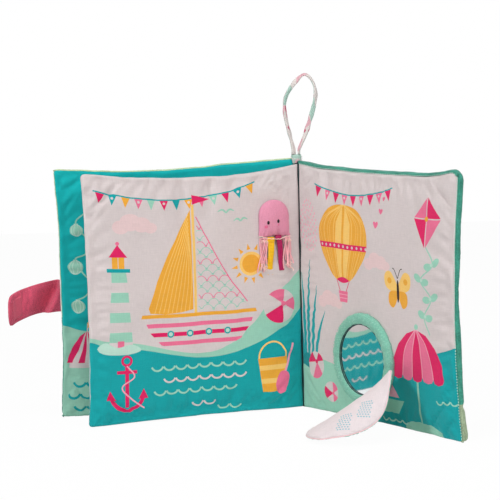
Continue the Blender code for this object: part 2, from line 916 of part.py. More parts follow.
for item in bpy.data.objects:
    if item.type == "EMPTY":
        print(item.name, "turns at", tuple(round(value, 5) for value in item.location))
print("the flap turns round", tuple(round(value, 5) for value in flap_direction))
print("what hangs on the leaf turns round", tuple(round(value, 5) for value in middle.along))
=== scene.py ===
import json
import math
from functools import partial

import bpy
import numpy as np
from mathutils import Matrix, Vector
from mathutils.geometry import delaunay_2d_cdt


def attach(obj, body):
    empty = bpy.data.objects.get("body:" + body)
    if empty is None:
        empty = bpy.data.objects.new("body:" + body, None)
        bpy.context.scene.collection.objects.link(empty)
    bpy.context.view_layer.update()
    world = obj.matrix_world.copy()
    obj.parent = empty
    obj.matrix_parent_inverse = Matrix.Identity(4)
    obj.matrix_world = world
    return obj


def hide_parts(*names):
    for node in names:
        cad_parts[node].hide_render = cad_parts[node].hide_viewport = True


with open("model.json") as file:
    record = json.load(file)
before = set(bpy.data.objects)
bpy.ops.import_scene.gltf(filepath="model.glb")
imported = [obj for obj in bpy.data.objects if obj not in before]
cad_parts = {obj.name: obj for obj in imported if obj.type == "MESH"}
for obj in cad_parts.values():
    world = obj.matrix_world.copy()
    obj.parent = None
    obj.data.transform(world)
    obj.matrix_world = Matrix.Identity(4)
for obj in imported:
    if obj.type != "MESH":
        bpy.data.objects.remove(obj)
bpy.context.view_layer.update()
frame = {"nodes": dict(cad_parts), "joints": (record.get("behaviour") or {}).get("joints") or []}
joints = {joint["name"]: joint for joint in frame["joints"]}
mm = 0.001
skyward = np.array((0, 0, 1.0))


def linear(red, green, blue):
    # a screen colour, 0 to 255, as the renderer counts it
    shares = [c / 255 for c in (red, green, blue)]
    return tuple(((c + 0.055) / 1.055) ** 2.4 if c > 0.04 else c / 12.92 for c in shares)


inks = {
    "white": linear(213, 202, 201),
    "paleCloud": linear(228, 200, 200),
    "teal": linear(6, 160, 164),
    "deepTeal": linear(0, 138, 142),
    "brightTeal": linear(0, 172, 174),
    "mint": linear(152, 206, 184),
    "paleMint": linear(184, 218, 202),
    "pink": linear(234, 112, 148),
    "softPink": linear(242, 164, 184),
    "hotPink": linear(222, 28, 96),
    "gold": linear(236, 168, 56),
    "paleGold": linear(246, 200, 110),
    "dark": linear(44, 26, 30),
    "flapWhite": linear(230, 219, 221),
    "skyTeal": linear(104, 182, 196),
}

# camera
cameraMake = {"place": (-0.04186, -1.65902, 0.3102), "pitch": 6.23, "roll": -0.0266, "lens": 148.43}


def linked(name, data):
    made = bpy.data.objects.new(name, data)
    bpy.context.scene.collection.objects.link(made)
    return made


def makeCamera(make):
    data = bpy.data.cameras.new("bookCamera")
    data.lens = make["lens"]
    data.sensor_width = 36
    data.clip_start, data.clip_end = 0.05, 30
    camera = linked("bookCamera", data)
    look = Matrix.Rotation(math.radians(90 - make["pitch"]), 4, "X")
    camera.matrix_world = Matrix.Translation(make["place"]) @ look @ Matrix.Rotation(make["roll"], 4, "Z")
    bpy.context.scene.camera = camera


makeCamera(cameraMake)
print("camera made")


# materials
def wire(tree, node, inputs):
    # each input is set, or linked where the value is a socket
    for key, value in inputs.items():
        if isinstance(value, bpy.types.NodeSocket):
            tree.links.new(value, node.inputs[key])
        else:
            node.inputs[key].default_value = value
    return node


def put(tree, kind, inputs=None, **settings):
    made = tree.nodes.new(kind)
    for key, value in settings.items():
        setattr(made, key, value)
    return wire(tree, made, inputs or {})


def maths(tree, operation, first, second=0.0):
    return put(tree, "ShaderNodeMath", {0: first, 1: second}, operation=operation).outputs[0]


def sums(tree):
    return [partial(maths, tree, operation) for operation in ("ADD", "SUBTRACT", "MULTIPLY")]


def noise(tree, place, scale, detail=2.0):
    return put(tree, "ShaderNodeTexNoise", {"Vector": place, "Scale": scale, "Detail": detail}).outputs[0]


def stretched(tree, place, scale, start=(0, 0, 0)):
    return put(tree, "ShaderNodeMapping", {"Vector": place, "Scale": scale, "Location": start}).outputs[0]


def blended(tree, share, first, second, **settings):
    made = put(tree, "ShaderNodeMix", {0: share, 6: first, 7: second}, data_type="RGBA", **settings)
    return made.outputs[2]


def newGroup(name, values, outputs):
    # a shader group that reads a place on the cloth and the named values
    tree = bpy.data.node_groups.new(name, "ShaderNodeTree")
    tree.interface.new_socket("Vector", in_out="INPUT", socket_type="NodeSocketVector")
    for label, value in values.items():
        tree.interface.new_socket(label, in_out="INPUT", socket_type="NodeSocketFloat").default_value = value
    for label in outputs:
        tree.interface.new_socket(label, in_out="OUTPUT", socket_type="NodeSocketFloat")
    return tree, tree.nodes.new("NodeGroupInput").outputs, tree.nodes.new("NodeGroupOutput")


def grouped(tree, group, inputs):
    return put(tree, "ShaderNodeGroup", inputs, node_tree=group).outputs


def makeWeaveGroup():
    # plain weave: crossing threads, slubs where a thread runs thick, and slow patches of painted soft shade
    tree, given, result = newGroup("clothWeave", {"Threads": 1500.0, "Slub": 0.12}, ("Shade", "Height"))
    add, less, times = sums(tree)
    place = given["Vector"]
    parts = put(tree, "ShaderNodeSeparateXYZ", {0: place}).outputs
    turns = times(given["Threads"], 2 * math.pi)
    cross = times(*[maths(tree, "SINE", times(parts[axis], turns)) for axis in (0, 1)])
    runs = [stretched(tree, place, stretch) for stretch in ((140.0, 1300.0, 300.0), (1300.0, 140.0, 300.0))]
    slubs = less(add(*[noise(tree, run, 1.0) for run in runs]), 1.0)
    # slow patches a few centimetres wide, darker and lighter, are painted soft shade
    paintedSoftShade = times(less(noise(tree, place, 30.0, 3.0), 0.5), 0.5)
    shade = add(times(add(slubs, paintedSoftShade), given["Slub"]), 1.0)
    height = add(times(cross, 0.35), times(slubs, 0.9))
    wire(tree, result, {"Shade": add(shade, times(cross, 0.035)), "Height": height})
    return tree


def makeNapGroup():
    # short pile: fine tufts and upright streaks over slow brushed patches
    tree, given, result = newGroup("plushNap", {"Scale": 900.0, "Depth": 0.3}, ("Shade", "Height"))
    add, less, times = sums(tree)
    place, scale = given["Vector"], given["Scale"]
    tufts = put(tree, "ShaderNodeTexVoronoi", {"Vector": place, "Scale": scale}).outputs["Distance"]
    fine = noise(tree, place, scale, 3.0)
    streaks = noise(tree, stretched(tree, place, (1.0, 1.0, 0.14)), 760.0)
    brushed = add(add(less(fine, 0.5), less(streaks, 0.5)), less(noise(tree, place, 55.0), 0.5))
    tips = times(less(0.45, tufts), 0.5)
    shade = add(times(add(brushed, tips), given["Depth"]), 1.0)
    wire(tree, result, {"Shade": shade, "Height": add(fine, times(tips, 2.0))})
    return tree


def makeSpeckGroup():
    # loose specks of a second colour, as on brushed knit
    tree, given, result = newGroup("clothSpecks", {"Scale": 700.0, "Share": 0.3}, ["Mask"])
    add, less, _ = sums(tree)
    place, scale = given["Vector"], given["Scale"]
    dots = put(tree, "ShaderNodeTexVoronoi", {"Vector": place, "Scale": scale}).outputs["Distance"]
    reach = add(dots, less(noise(tree, place, scale), 0.5))
    mask = put(tree, "ShaderNodeMapRange", {"Value": reach, "From Min": given["Share"], "From Max": 0.05})
    wire(tree, result, {"Mask": mask.outputs[0]})
    return tree


weaveGroup, napGroup, speckGroup = makeWeaveGroup(), makeNapGroup(), makeSpeckGroup()


def startMaterial(name, roughness, sheen=0.0, tint=(1, 1, 1), sheenRoughness=0.5):
    made = bpy.data.materials.new(name)
    made.use_nodes = True
    tree = made.node_tree
    looks = {
        "Roughness": roughness, "Specular IOR Level": 0.25,
        "Sheen Weight": sheen, "Sheen Tint": (*tint, 1), "Sheen Roughness": sheenRoughness,
    }
    return made, tree, wire(tree, tree.nodes["Principled BSDF"], looks)


def clothPlace(tree):
    return put(tree, "ShaderNodeUVMap", uv_map="cloth").outputs[0]


def objectPlace(tree):
    return put(tree, "ShaderNodeTexCoord").outputs["Object"]


def shadeInto(tree, shader, colour, pattern, bump, depth):
    # colour times the pattern's shade into the base colour, the pattern's height into a bump
    shade, height = pattern
    grey = put(tree, "ShaderNodeCombineColor", {0: shade, 1: shade, 2: shade}).outputs[0]
    lifted = put(tree, "ShaderNodeBump", {"Strength": bump, "Distance": depth, "Height": height})
    base = blended(tree, 1.0, colour, grey, blend_type="MULTIPLY")
    wire(tree, shader, {"Base Color": base, "Normal": lifted.outputs[0]})


def wovenMaterial(name, colour=None, slub=0.12, bump=0.5):
    # a woven cloth of one colour, or of the colours printed on the piece where none is given
    made, tree, shader = startMaterial(name, 0.85, 0.1)
    place = objectPlace(tree) if colour else clothPlace(tree)
    ground = (*colour, 1) if colour else put(tree, "ShaderNodeVertexColor", layer_name="ink").outputs[0]
    weave = grouped(tree, weaveGroup, {"Vector": place, "Slub": slub})
    shadeInto(tree, shader, ground, weave, bump, 0.00025)
    return made


def plushMaterial(name, colour, depth=0.35, scale=900.0, sheen=0.35, tint=(1, 1, 1)):
    made, tree, shader = startMaterial(name, 0.95, sheen, tint, 0.35)
    nap = grouped(tree, napGroup, {"Vector": objectPlace(tree), "Scale": scale, "Depth": depth})
    shadeInto(tree, shader, (*colour, 1), nap, 0.8, 0.0006)
    return made


def satinMaterial(name, colour):
    made, tree, shader = startMaterial(name, 0.42, 0.1)
    wire(tree, shader, {"Anisotropic": 0.5})
    weave = grouped(tree, weaveGroup, {"Vector": clothPlace(tree), "Threads": 2600.0, "Slub": 0.2})
    shadeInto(tree, shader, (*colour, 1), weave, 0.25, 0.0001)
    return made


def speckledMaterial(name, colour, second, share=0.34, scale=700.0):
    made, tree, shader = startMaterial(name, 0.9, 0.2)
    place = objectPlace(tree)
    specks = grouped(tree, speckGroup, {"Vector": place, "Scale": scale, "Share": share})
    nap = grouped(tree, napGroup, {"Vector": place, "Scale": scale, "Depth": 0.2})
    both = blended(tree, specks[0], (*colour, 1), (*second, 1))
    shadeInto(tree, shader, both, nap, 0.6, 0.0004)
    return made


def mirrorMaterial():
    made, tree, shader = startMaterial("mirrorFilm", 0.03)
    haze = noise(tree, objectPlace(tree), 18.0, 1.0)
    ramp = put(tree, "ShaderNodeMapRange", {"Value": haze, "To Min": 0.02, "To Max": 0.06})
    tone = blended(tree, haze, (0.80, 0.83, 0.84, 1), (0.86, 0.88, 0.89, 1))
    wire(tree, shader, {"Metallic": 1.0, "Roughness": ramp.outputs[0], "Base Color": tone})
    return made


def flowerMaterial():
    # white cotton with scattered pink and mint flecks, for the folded loop
    made, tree, shader = startMaterial("loopCotton", 0.85, 0.1)
    place = clothPlace(tree)
    colour = (*linear(214, 206, 202), 1)
    flecks = (
        ((34.0, 110.0, 1.0), 0.50, linear(166, 196, 184)),
        ((90.0, 170.0, 1.0), 0.63, linear(186, 70, 104)),
        ((60.0, 190.0, 1.0), 0.60, linear(216, 170, 178)),
    )
    for number, (stretch, edge, ink) in enumerate(flecks):
        spots = noise(tree, stretched(tree, place, stretch, (3.7 * number, 1.9 * number, 0)), 1.0, 1.0)
        mask = put(tree, "ShaderNodeMapRange", {"Value": spots, "From Min": edge, "From Max": edge + 0.03})
        colour = blended(tree, mask.outputs[0], colour, (*ink, 1))
    shadeInto(tree, shader, colour, grouped(tree, weaveGroup, {"Vector": place}), 0.5, 0.0002)
    return made


def threadMaterial(name, colour):
    made, tree, shader = startMaterial(name, 0.6, 0.2)
    twist = noise(tree, objectPlace(tree), 1800.0)
    shade = maths(tree, "ADD", maths(tree, "MULTIPLY", twist, 0.35), 0.82)
    shadeInto(tree, shader, (*colour, 1), (shade, twist), 0.4, 0.0001)
    return made


printedCotton = wovenMaterial("printedCotton", slub=0.16, bump=0.7)
plainCotton = wovenMaterial("plainCotton", linear(213, 202, 201))
mintPlush = plushMaterial("mintPlush", linear(66, 150, 130), 0.75)
limePlush = plushMaterial("limePlush", linear(196, 216, 168))
creamPlush = plushMaterial("creamPlush", linear(160, 178, 146), 0.6)
pinkVelour = plushMaterial("pinkVelour", linear(214, 86, 112), 0.6, 1300.0, 0.25, (1, 0.7, 0.8))
# the spine lining is coloured near black as painted shade, for the shadow deep in the gutter between the
# pages
gutterShadeLining = wovenMaterial("gutterShadeLining", linear(40, 62, 64))
jellyVelour = plushMaterial("jellyVelour", linear(230, 152, 178), 0.12, 1500.0, 0.2, (1, 0.85, 0.92))
ringCloth = speckledMaterial("ringCloth", linear(122, 186, 164), linear(182, 218, 204), 0.30, 1100.0)
flapBackCloth = speckledMaterial("flapBackCloth", linear(140, 208, 186), linear(196, 232, 216))
yellowSatin = satinMaterial("yellowSatin", linear(244, 190, 24))
magentaSatin = satinMaterial("magentaSatin", linear(168, 18, 84))
pinkYarn = threadMaterial("pinkYarn", linear(244, 178, 186))
pinkThread = threadMaterial("pinkThread", linear(228, 110, 140))
mintThread = threadMaterial("mintThread", linear(128, 204, 178))
whiteThread = threadMaterial("whiteThread", linear(232, 224, 222))
creamYarn = threadMaterial("creamYarn", linear(250, 214, 204))
seamThread = threadMaterial("seamThread", linear(176, 220, 204))
palePiping = threadMaterial("palePiping", linear(238, 196, 200))
# a dark thread as painted shade, for the shadow along the mirror ring's inner edge
ringShadeThread = threadMaterial("ringShadeThread", linear(24, 60, 62))
eyeThread = threadMaterial("eyeThread", linear(34, 20, 26))
cheekCloth = plushMaterial("cheekCloth", linear(232, 112, 152), 0.15, 1500.0, 0.1)
hookTape = speckledMaterial("hookTape", linear(206, 84, 108), linear(218, 110, 130), 0.3, 1300.0)
loopTape = speckledMaterial("loopTape", linear(214, 118, 140), linear(236, 170, 184), 0.5, 900.0)
mirrorFilm = mirrorMaterial()
loopCotton = flowerMaterial()
print("materials made")


# meshes
def addMesh(name, points, faces, finish, colours=None, cloth=None):
    # colours is one printed colour a face, cloth a flat place on the cloth for each point
    mesh = bpy.data.meshes.new(name)
    mesh.from_pydata(np.asarray(points, float).tolist(), [], faces)
    mesh.shade_smooth()
    mesh.materials.append(finish)
    corners = np.zeros(len(mesh.loops), np.int32)
    mesh.loops.foreach_get("vertex_index", corners)
    if cloth is not None:
        layer = mesh.uv_layers.new(name="cloth")
        layer.data.foreach_set("uv", np.asarray(cloth, np.float32)[corners].ravel())
    if colours is not None:
        layer = mesh.color_attributes.new("ink", "FLOAT_COLOR", "CORNER")
        counts = np.array([len(face) for face in faces])
        spread = np.repeat(np.column_stack([colours, np.ones(len(colours))]), counts, axis=0)
        layer.data.foreach_set("color", spread.astype(np.float32).ravel())
    return linked(name, mesh)


def settle(piece, body, slotName, *replaced, fill=None):
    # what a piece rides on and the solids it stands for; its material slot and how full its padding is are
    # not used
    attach(piece, body)
    if replaced:
        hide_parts(*replaced)
    return piece


def triangleNormals(points, triangles):
    first, second, third = (points[triangles[:, corner]] for corner in range(3))
    normals = np.cross(second - first, third - first)
    total = np.zeros_like(points)
    for corner in range(3):
        np.add.at(total, triangles[:, corner], normals)
    return total / np.maximum(np.linalg.norm(total, axis=1, keepdims=True), 1e-12)


def shell(points, triangles, thick, outward):
    # a cloth of real thickness from one open sheet, whose first face is the outer one
    points, triangles = np.asarray(points, float), np.asarray(triangles)
    normals = triangleNormals(points, triangles)
    if (normals @ np.asarray(outward, float)).sum() < 0:
        triangles = triangles[:, ::-1]
        normals = -normals
    count = len(points)
    ends = np.concatenate([triangles[:, [0, 1]], triangles[:, [1, 2]], triangles[:, [2, 0]]])
    keys = {}
    for first, second in ends.tolist():
        key = (first, second) if first < second else (second, first)
        keys[key] = None if key in keys else (first, second)
    rim = [edge for edge in keys.values() if edge]
    allPoints = np.concatenate([points, points - normals * thick])
    faces = triangles.tolist() + (triangles[:, ::-1] + count).tolist()
    faces += [(second, first, count + first, count + second) for first, second in rim]
    return allPoints, faces, len(triangles), len(rim)


def discTriangles(spokes, rings):
    # a disc of points, spoke by spoke from the middle outwards, with its middle last
    triangles = []
    for spoke in range(spokes):
        after = (spoke + 1) % spokes
        triangles.append((spokes * rings, spoke * rings, after * rings))
        for ring in range(rings - 1):
            a, b = spoke * rings + ring, after * rings + ring
            triangles += [(a, a + 1, b + 1), (a, b + 1, b)]
    return np.array(triangles)


def gridQuads(index):
    corners = (index[:-1, :-1], index[:-1, 1:], index[1:, 1:], index[1:, :-1])
    return np.column_stack([corner.ravel() for corner in corners])


def gridShell(name, points, thick, outward, finish, cloth=None):
    # points is rows by columns by 3
    quads = gridQuads(np.arange(points[..., 0].size).reshape(points.shape[:2]))
    triangles = np.concatenate([quads[:, [0, 1, 2]], quads[:, [0, 2, 3]]])
    solid, faces, _, _ = shell(points.reshape(-1, 3), triangles, thick, outward)
    flat = None if cloth is None else np.tile(cloth.reshape(-1, 2), (2, 1))
    return addMesh(name, solid, faces, finish, cloth=flat)


def rimOf(grid):
    rim = np.ones(grid.shape[:2], bool)
    rim[1:-1, 1:-1] = False
    return rim


def closedPad(name, low, high, finish, cloth=None):
    # two grids that share their outline, sewn into one closed form
    inner = ~rimOf(low)
    index = np.arange(inner.size).reshape(inner.shape)
    second = index.copy()
    second[inner] = inner.size + np.arange(inner.sum())
    points = np.concatenate([high.reshape(-1, 3), low[inner]])
    faces = np.concatenate([gridQuads(index), gridQuads(second)[:, ::-1]])
    flat = None if cloth is None else np.concatenate([cloth.reshape(-1, 2), cloth[inner]])
    return rightSideOut(addMesh(name, points, faces.tolist(), finish, cloth=flat))


def rightSideOut(made):
    # closed forms must face outwards
    mesh = made.data
    points = np.array([vertex.co for vertex in mesh.vertices])
    mesh.calc_loop_triangles()
    corners = np.array([triangle.vertices[:] for triangle in mesh.loop_triangles])
    if np.linalg.det(points[corners] - points.mean(0)).sum() < 0:
        mesh.flip_normals()
    return made


def ringFaces(rings, sides, closed):
    # quads between neighbouring rings, and from the last to the first where they close on themselves
    faces = []
    for ring in range(rings if closed else rings - 1):
        low, high = ring * sides, (ring + 1) % rings * sides
        for side in range(sides):
            following = (side + 1) % sides
            faces.append((low + side, low + following, high + following, high + side))
    return faces


def crossways(ahead):
    return np.cross(ahead, (0, 1, 0) if abs(ahead[1]) < 0.9 else (1, 0, 0))


def tubeGrid(path, widths, thicknesses, turns, sides, groove=0.0):
    # rings round a path, flat or round, turned by the given angles
    ahead = np.gradient(path, axis=0)
    ahead /= np.linalg.norm(ahead, axis=1, keepdims=True)
    across = crossways(ahead[0])
    angles = 2 * math.pi * np.arange(sides) / sides
    reach = 1 - groove * np.exp(-((np.cos(angles) / 0.3) ** 2))
    rings = []
    for spot, forward, width, thickness, turn in zip(path, ahead, widths, thicknesses, turns):
        across = across - forward * (across @ forward)
        across /= np.linalg.norm(across)
        up = np.cross(forward, across)
        flat, tall = reach * np.cos(angles) * width / 2, reach * np.sin(angles) * thickness / 2
        x, y = flat * math.cos(turn) - tall * math.sin(turn), flat * math.sin(turn) + tall * math.cos(turn)
        rings.append(spot + x[:, None] * across + y[:, None] * up)
    return np.array(rings)


def addTube(name, path, width, finish, thickness=None, turns=None, sides=12, closed=False, groove=0.0):
    # a capped tube, or a ring where the path closes on itself
    path = np.asarray(path, float)
    count = len(path)
    widths = np.broadcast_to(np.asarray(width, float), count)
    thicknesses = widths if thickness is None else np.broadcast_to(np.asarray(thickness, float), count)
    rings = tubeGrid(path, widths, thicknesses, np.zeros(count) if turns is None else turns, sides, groove)
    faces = ringFaces(count, sides, closed)
    if not closed:
        faces.append(tuple(range(sides))[::-1])
        faces.append(tuple(range((count - 1) * sides, count * sides)))
    steps = np.linalg.norm(np.diff(path, axis=0, prepend=path[:1]), axis=1).cumsum()
    around = np.arange(sides) / sides * np.mean(widths) * 2.4
    flat = np.stack(np.broadcast_arrays(steps[:, None], around), axis=-1).reshape(-1, 2)
    return rightSideOut(addMesh(name, rings.reshape(-1, 3), faces, finish, cloth=flat))


def tapeTurns(path, flatway):
    # the turn that lays a flat tube's width along a direction
    ahead = path[1] - path[0]
    ahead = ahead / np.linalg.norm(ahead)
    across = crossways(ahead)
    across -= ahead * (across @ ahead)
    across /= np.linalg.norm(across)
    up = np.cross(ahead, across)
    return np.full(len(path), math.atan2(flatway @ up, flatway @ across))


def curveWeights(t):
    # what each of four neighbours counts for at a share t between the middle two
    return (
        ((-t + 2) * t - 1) * t / 2,
        ((3 * t - 5) * t * t + 2) / 2,
        ((-3 * t + 4) * t + 1) * t / 2,
        (t - 1) * t * t / 2,
    )


def smoothPath(points, spacing):
    # evenly spaced points on a smooth curve through the given ones
    points = np.asarray(points, float)
    padded = np.concatenate([[2 * points[0] - points[1]], points, [2 * points[-1] - points[-2]]])
    weights = curveWeights(np.linspace(0, 1, 12, endpoint=False)[:, None])
    dense = []
    for near in zip(padded, padded[1:], padded[2:], padded[3:]):
        dense.append(sum(weight * point for weight, point in zip(weights, near)))
    dense = np.concatenate([*dense, points[-1:]])
    lengths = np.concatenate([[0], np.linalg.norm(np.diff(dense, axis=0), axis=1).cumsum()])
    wanted = np.linspace(0, lengths[-1], max(2, round(lengths[-1] / spacing) + 1))
    return np.column_stack([np.interp(wanted, lengths, column) for column in dense.T]), lengths[-1]


def sampled(field, across, up):
    # a smooth reading of a grid of values at shares of its width and height
    rows, columns = field.shape[:2]
    x = np.clip(across, 0, 1) * (columns - 1)
    y = np.clip(up, 0, 1) * (rows - 1)
    left, low = np.minimum(x.astype(int), columns - 2), np.minimum(y.astype(int), rows - 2)
    total = 0
    for j, wy in enumerate(curveWeights(y - low)):
        row = np.clip(low + j - 1, 0, rows - 1)
        for i, wx in enumerate(curveWeights(x - left)):
            column = np.clip(left + i - 1, 0, columns - 1)
            weight = wx * wy
            total = total + field[row, column] * (weight[..., None] if field.ndim == 3 else weight)
    return total


def cloudField(seed, across, up, cellsAcross, cellsUp):
    # smooth seeded noise over a sheet, from about -1 to 1
    lattice = np.random.default_rng(seed).uniform(-1, 1, (cellsUp + 1, cellsAcross + 1))
    return sampled(lattice, across, up)


def edgeWave(seed, run, count):
    # smooth seeded noise along one edge
    return cloudField(seed, run, np.full_like(run, 0.5), count, 2)


# hanging loop, a cord
loopMake = {
    "width": 0.0037,
    "thick": 0.0026,
    "hinge": joints["hanging_loop_bend"]["pos_m"],
    "start": 0.0025,
    "route": [
        (-2.2, 0.0), (-2.2, 3.8), (-3.0, 8.0), (-5.0, 16.5), (-7.4, 27.0), (-8.6, 36.0), (-7.8, 45.0),
        (-3.6, 53.0), (2.2, 60.0), (7.8, 64.0), (12.8, 60.8), (15.8, 54.5), (16.6, 47.0), (14.8, 38.0),
        (11.4, 27.0), (7.6, 16.0), (4.0, 8.0), (2.2, 3.8), (2.2, 0.0),
    ],
}


def makeLoop(make):
    hinge = np.array(make["hinge"])
    route = [hinge + (x * mm, 0, make["start"] + z * mm) for x, z in make["route"]]
    path, length = smoothPath(route, 0.0016)
    count = len(path)
    along = np.linspace(0, 1, count)
    # the strip is folded and rolled, so it shows now its flat and now its edge
    roll = 1.3 * np.sin(along * 8.0) + 0.45 * np.sin(along * 19.0 + 1.0)
    full = 1 + 0.10 * np.sin(along * 61.0) + 0.06 * np.sin(along * 97.0 + 2.0)
    tube = {"thickness": make["thick"] * full, "turns": roll, "sides": 20, "groove": 0.3}
    made = addTube("hangLoop", path, make["width"] * full, loopCotton, **tube)
    settle(made, "hanging_loop", "loop_cotton", "hang_loop")
    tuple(path[0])
    print("hanging loop made,", round(length * 1000), "mm of cord")


makeLoop(loopMake)

# panels: where each one stands and the size of its cloth
panelMake = {
    "front": {
        "joint": "front_cover_fold", "heading": 6.8, "mirrored": True,
        "width": 0.194, "height": 0.200, "seed": 210,
        "topSag": 0.0042, "rootLap": 0.0010, "rootRim": 0.00125, "corner": 0.0032, "foreDraw": 0.0030,
        "topShape": [(0, 2.4), (30, 3.2), (61, 3.1), (85, 1.8), (104, 0.5), (147, 0.1), (194, 0)],
    },
    "leaf": {
        "joint": "leaf_fold", "heading": 21.2, "mirrored": True,
        "width": 0.180, "height": 0.1985, "seed": 230,
        "topSag": 0.0058, "rootLap": 0.0012, "rootRim": 0.0016, "corner": 0.0042, "foreDraw": 0.0030,
        "topShape": [(0, -0.3), (35, -1.6), (95, -0.7), (173, 1.2), (180, 0.8)],
    },
    "back": {
        "joint": "back_cover_fold", "heading": 55.1, "mirrored": False,
        "width": 0.194, "height": 0.200, "seed": 250,
        "topSag": 0.0042, "rootLap": 0.0010, "rootRim": 0.0015, "corner": 0.0072, "foreDraw": 0.0062,
        "topShape": [(0, 0), (53, 0.3), (124, 0.2), (159, -0.5), (187, 1.4), (194, 0.4)],
    },
}
edgeMake = {"footRise": 0.0014, "footCut": 0.0005, "footCorner": 0.0030, "waver": 0.00035}


def bow(share):
    return 4 * share * (1 - share)


def crown(across, up):
    return np.maximum(bow(across) * bow(up), 0) ** 0.4


def direction(degrees):
    return np.array((math.cos(math.radians(degrees)), math.sin(math.radians(degrees)), 0.0))


class Panel:
    # a cover or the leaf, in shares of its outline or in real lengths
    def __init__(self, make):
        for key, value in make.items():
            setattr(self, key, value)
        self.root = np.array(joints[self.joint]["pos_m"], float)
        self.along = direction(180 + self.heading if self.mirrored else -self.heading)
        self.inward = direction(270 + self.heading if self.mirrored else 270 - self.heading)
        shape = np.array(self.topShape) * mm
        self.topShape = shape[:, 0] / self.width, shape[:, 1]
        self.puffed = {}  # what the cloth simulation moved, by side

    def place(self, along, up, depth):
        along, up, depth = (part[..., None] for part in np.broadcast_arrays(along, up, depth))
        return self.root + along * self.along + depth * self.inward + up * skyward

    def outline(self, across, up, inset=(0, 0, 0, 0), outset=(0, 0)):
        # inset is what the sheet keeps clear of the fold, the fore edge, the foot and the top
        rootIn, foreIn, footIn, topIn = inset
        edge = self.width - self.foreDraw * bow(up) + self.waver(up, 1)
        root = rootIn - self.rootLap + self.waver(up, 2)
        foot = np.maximum(0, edgeMake["footRise"] * bow(across) - edgeMake["footCut"])
        foot = foot + np.maximum(0, self.waver(across, 3))
        top = self.height - self.topSag * bow(across) + np.interp(across, *self.topShape)
        top = top + self.waver(across, 4)
        along = root + across * (edge - foreIn - root) + outset[0]
        high = foot + footIn + up * (top - topIn - foot - footIn) + outset[1]
        past = np.maximum(np.abs(outset[0]), np.abs(outset[1])) * np.ones_like(along)
        corners = ((self.corner + 0.8 * past, top, 1), (edgeMake["footCorner"] + 1.3 * past, foot, -1))
        for radius, line, side in corners:
            # what lies in a square corner is drawn in to a round one
            x, y = along - edge + radius, side * (high - line) + radius
            inside = (x > 0) & (y > 0)
            drawn = np.where(inside, np.maximum(x, y) / np.maximum(np.hypot(x, y), 1e-9), 1)
            along = np.where(inside, edge - radius + x * drawn, along)
            high = np.where(inside, line + side * (y * drawn - radius), high)
        return along, high

    def waver(self, share, seed):
        # the slight waves of a sewn edge
        wave = edgeWave(self.seed + seed, share, 11) + 0.45 * edgeWave(self.seed + seed + 5, share, 31)
        return edgeMake["waver"] * wave * np.minimum(1, np.minimum(share, 1 - share) * 12)

    def fullness(self, across, up, rim, rise):
        edge = self.rootRim + (rim - self.rootRim) * np.minimum(1, across / 0.06)
        return edge + (rise - edge) * crown(across, up)

    def shares(self, along, up):
        # shares of the panel's outline at real lengths
        across = np.clip((along + self.rootLap) / (self.width + self.rootLap), 0, 1)
        return across, np.clip(up / self.height, 0, 1)


panels = {name: Panel(make) for name, make in panelMake.items()}


def rounded(distance, radius):
    # how far a sheet has come up from its seam, 0 to 1, over a quarter round
    share = np.clip(distance / radius, 0, 1)
    return np.sqrt(1 - (1 - share) ** 2)


def creaseField(creases, x, y):
    # soft folds in the cloth: each runs from one point to another and is wide and deep, in millimetres
    total = np.zeros_like(x)
    for x0, y0, x1, y1, wide, deep in creases:
        run = np.hypot(x1 - x0, y1 - y0)
        along = ((x - x0) * (x1 - x0) + (y - y0) * (y1 - y0)) / run**2
        off = ((x - x0) * (y1 - y0) - (y - y0) * (x1 - x0)) / run
        reach = np.clip(along, 0, 1)
        past = np.hypot(off, (along - reach) * run)
        fade = np.sin(math.pi * np.clip(0.12 + 0.88 * along, 0, 1)) ** 0.6
        bump = np.exp(-((past / wide) ** 2)) - 0.45 * np.exp(-((past / (2.2 * wide)) ** 2))
        total += deep * mm * fade * bump
    return total


